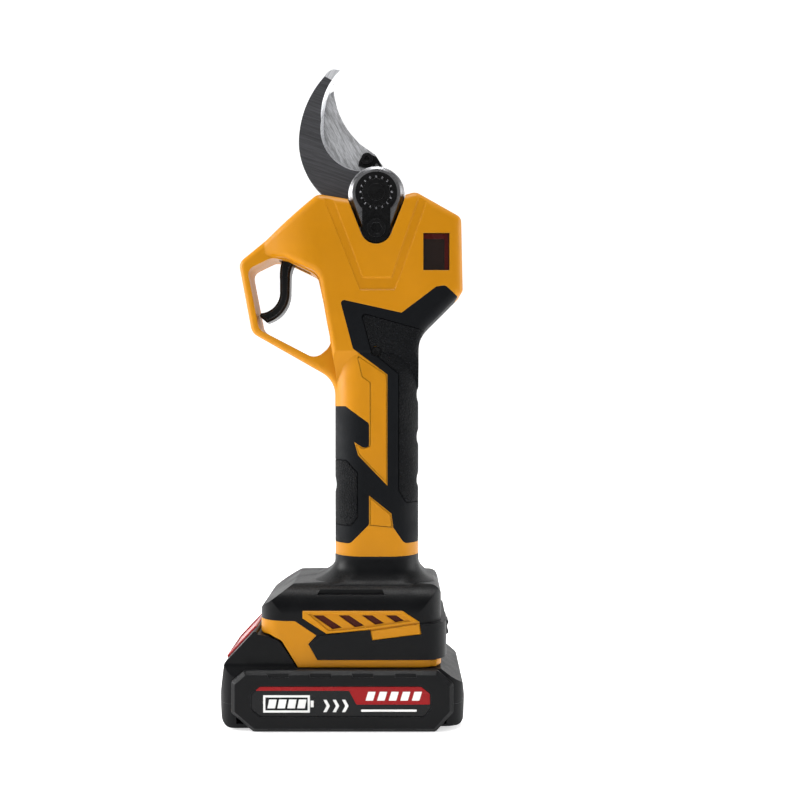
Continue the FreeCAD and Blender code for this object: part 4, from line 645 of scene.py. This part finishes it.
class PRUNER_OT_vent_shade_sheets(bpy.types.Operator):
    """Sets a dark sheet behind both vent grilles: painted shade for the depth of the slots"""
    bl_idname = "pruner.vent_screens"
    bl_label = "Vent shade sheets"

    def execute(self, context):
        for side, sign in (("front", -1), ("back", 1)):
            shape = bmesh.new()
            outline_plate(shape, VENT_SHADE_SHEET, sign * SHADE_SHEET_FRONT, sign * SHADE_SHEET_BACK, 0.6)
            finished_piece(f"{side}_vent_shade_sheet", shape, finish("vent_painted_shade"), "handle")
        return {"FINISHED"}


DISPLAY = [(38.0, 210.6), (47.9, 210.6), (47.9, 224.9), (38.0, 224.9)]
DISPLAY_MASK = [(37.6, 224.7), (47.3, 224.7), (47.3, 210.4), (49.2, 210.4), (49.2, 227.1), (37.6, 227.1)]
# Y of each plate's front and back: the screen behind the window, the mask on the window's face.
DISPLAY_DEPTHS = (-16.99, -16.9)
MASK_DEPTHS = (-18.44, -18.36)


class PRUNER_OT_display_screen(bpy.types.Operator):
    """Puts a dark screen under the display window and a red mask along its top and right"""
    bl_idname = "pruner.display_screen"
    bl_label = "Display screen"

    def execute(self, context):
        shape = bmesh.new()
        outline_plate(shape, DISPLAY, *DISPLAY_DEPTHS, 0.2)
        finished_piece("display_screen", shape, finish("screen"), "handle")
        shape = bmesh.new()
        outline_plate(shape, DISPLAY_MASK, *MASK_DEPTHS)
        finished_piece("display_rim", shape, finish("screen_rim"), "handle")
        return {"FINISHED"}


NUT_CENTRE, TIP_COUNT, TIP_CIRCLE, TIP_RADIUS = Vector((0.0154, -0.01925, 0.2465)), 16, 0.0073, 0.0003


class PRUNER_OT_spline_tips(bpy.types.Operator):
    """Rings the blade nut with the polished tips of its locking splines"""
    bl_idname = "pruner.spline_tips"
    bl_label = "Nut splines"

    def execute(self, context):
        shape = bmesh.new()
        for number in range(TIP_COUNT):
            before = set(shape.verts)
            bmesh.ops.create_uvsphere(shape, u_segments=12, v_segments=8, radius=TIP_RADIUS)
            tip = [vert for vert in shape.verts if vert not in before]
            bmesh.ops.scale(shape, vec=(1.0, 0.8, 2.0), verts=tip)
            bmesh.ops.translate(shape, vec=(0, 0, TIP_CIRCLE), verts=tip)
            turn = Matrix.Rotation(math.tau * number / TIP_COUNT, 3, "Y")
            bmesh.ops.rotate(shape, cent=(0, 0, 0), matrix=turn, verts=tip)
        bmesh.ops.translate(shape, vec=NUT_CENTRE, verts=shape.verts)
        finished_piece("nut_spline_tips", shape, finish("spline_steel"), "handle")
        return {"FINISHED"}


# Each lamp: name, place, side in metres, watts.
LIGHTS = (
    ("key light", (-0.95, -0.85, 0.75), 0.5, 3.0),
    ("fill light", (0.95, -0.85, 0.5), 0.5, 0.8),
    ("left light", (-1.1, 0.1, 0.45), 0.6, 15.0),
    ("right light", (1.1, 0.15, 0.35), 0.8, 8.0),
    ("top light", (0.0, -0.1, 1.3), 0.5, 12.0),
)
LIGHT_AIM = Vector((0.0, 0.0, 0.15))
CAMERA_X, CAMERA_Z = 0.0265, 0.1495
WORLD_STRENGTH, PAPER_GLOW = 0.3, 0.56


class PRUNER_OT_stage(bpy.types.Operator):
    """Lays the floor, hangs the lights and sets up the camera"""
    bl_idname = "pruner.stage"
    bl_label = "Stage"

    def execute(self, context):
        settings = context.scene.pruner_stage
        self.floor(settings)
        for name, spot, size, power in LIGHTS:
            self.light(name, Vector(spot), size, power)
        world = bpy.data.worlds.new("studio")
        world.use_nodes = True
        backing = world.node_tree.nodes["Background"]
        backing.inputs["Color"].default_value = (1.0, 1.0, 1.0, 1.0)
        backing.inputs["Strength"].default_value = WORLD_STRENGTH
        context.scene.world = world
        context.scene.view_settings.view_transform = "Standard"
        camera = bpy.data.cameras.new("camera")
        camera.lens = settings.lens
        camera.sensor_width = 36.0
        camera.clip_start = 0.01
        stand = bpy.data.objects.new("camera", camera)
        stand.location = (CAMERA_X, -settings.distance, CAMERA_Z)
        stand.rotation_euler = (math.radians(90), 0, 0)
        context.scene.collection.objects.link(stand)
        context.scene.camera = stand
        return {"FINISHED"}

    @staticmethod
    def floor(settings):
        shape = bmesh.new()
        start, far, high, half = -4.0, 3.2, 4.5, 5.0
        corners = [shape.verts.new((-half, y, z)) for y, z in ((start, 0.0), (far, 0.0), (far, high))]
        for first, second in zip(corners, corners[1:]):
            shape.edges.new((first, second))
        made = bmesh.ops.extrude_edge_only(shape, edges=shape.edges[:])
        moved = [item for item in made["geom"] if isinstance(item, bmesh.types.BMVert)]
        bmesh.ops.translate(shape, vec=(2 * half, 0, 0), verts=moved)
        fold = [edge for edge in shape.edges if len(edge.link_faces) == 2]
        bmesh.ops.bevel(shape, geom=fold, offset=1.4, offset_type="OFFSET", affect="EDGES", segments=16,
                        profile=0.5, material=-1)
        bmesh.ops.recalc_face_normals(shape, faces=shape.faces)
        mesh = bpy.data.meshes.new("floor")
        shape.to_mesh(mesh)
        shape.free()
        mesh.shade_smooth()
        sweep = bpy.data.objects.new("floor", mesh)
        bpy.context.scene.collection.objects.link(sweep)
        paper = bpy.data.materials.new("paper")
        paper.use_nodes = True
        surface = paper.node_tree.nodes["Principled BSDF"]
        surface.inputs["Base Color"].default_value = tuple(settings.floor) + (1.0,)
        surface.inputs["Roughness"].default_value = 0.7
        surface.inputs["Emission Color"].default_value = (1.0, 1.0, 1.0, 1.0)
        surface.inputs["Emission Strength"].default_value = PAPER_GLOW
        mesh.materials.append(paper)

    @staticmethod
    def light(name, spot, size, power):
        lamp = bpy.data.lights.new(name, "AREA")
        lamp.shape = "SQUARE"
        lamp.size = size
        lamp.energy = power
        lamp_object = bpy.data.objects.new(name, lamp)
        lamp_object.location = spot
        aim = LIGHT_AIM - spot
        lamp_object.rotation_euler = aim.to_track_quat("-Z", "Y").to_euler()
        bpy.context.scene.collection.objects.link(lamp_object)


class PRUNER_PT_panel(bpy.types.Panel):
    """Lists the pruner's settings and steps"""
    bl_idname = "PRUNER_PT_panel"
    bl_label = "Cordless Pruner"
    bl_space_type = "VIEW_3D"
    bl_region_type = "UI"
    bl_category = "Pruner"

    def draw(self, context):
        for settings in (context.scene.pruner_finish, context.scene.pruner_label, context.scene.pruner_stage):
            box = self.layout.box()
            for label in settings.__annotations__:
                box.prop(settings, label)
        for step in STEPS:
            self.layout.operator(step.bl_idname)


STEPS = (PRUNER_OT_finishes, PRUNER_OT_pack_labels, PRUNER_OT_vent_shade_sheets,
         PRUNER_OT_display_screen, PRUNER_OT_spline_tips, PRUNER_OT_stage)
CLASSES = (PrunerFinishSettings, PrunerLabelSettings, PrunerStageSettings) + STEPS + (PRUNER_PT_panel,)


def register():
    for item in CLASSES:
        bpy.utils.register_class(item)
    bpy.types.Scene.pruner_finish = bpy.props.PointerProperty(type=PrunerFinishSettings)
    bpy.types.Scene.pruner_label = bpy.props.PointerProperty(type=PrunerLabelSettings)
    bpy.types.Scene.pruner_stage = bpy.props.PointerProperty(type=PrunerStageSettings)


def unregister():
    del bpy.types.Scene.pruner_stage
    del bpy.types.Scene.pruner_label
    del bpy.types.Scene.pruner_finish
    for item in reversed(CLASSES):
        bpy.utils.unregister_class(item)


def main():
    register()
    for item in list(bpy.data.objects):
        if item.type in {"LIGHT", "CAMERA"}:
            bpy.data.objects.remove(item)
    for step in STEPS:
        area, action = step.bl_idname.split(".")
        getattr(getattr(bpy.ops, area), action)()


if __name__ == "__main__":
    main()
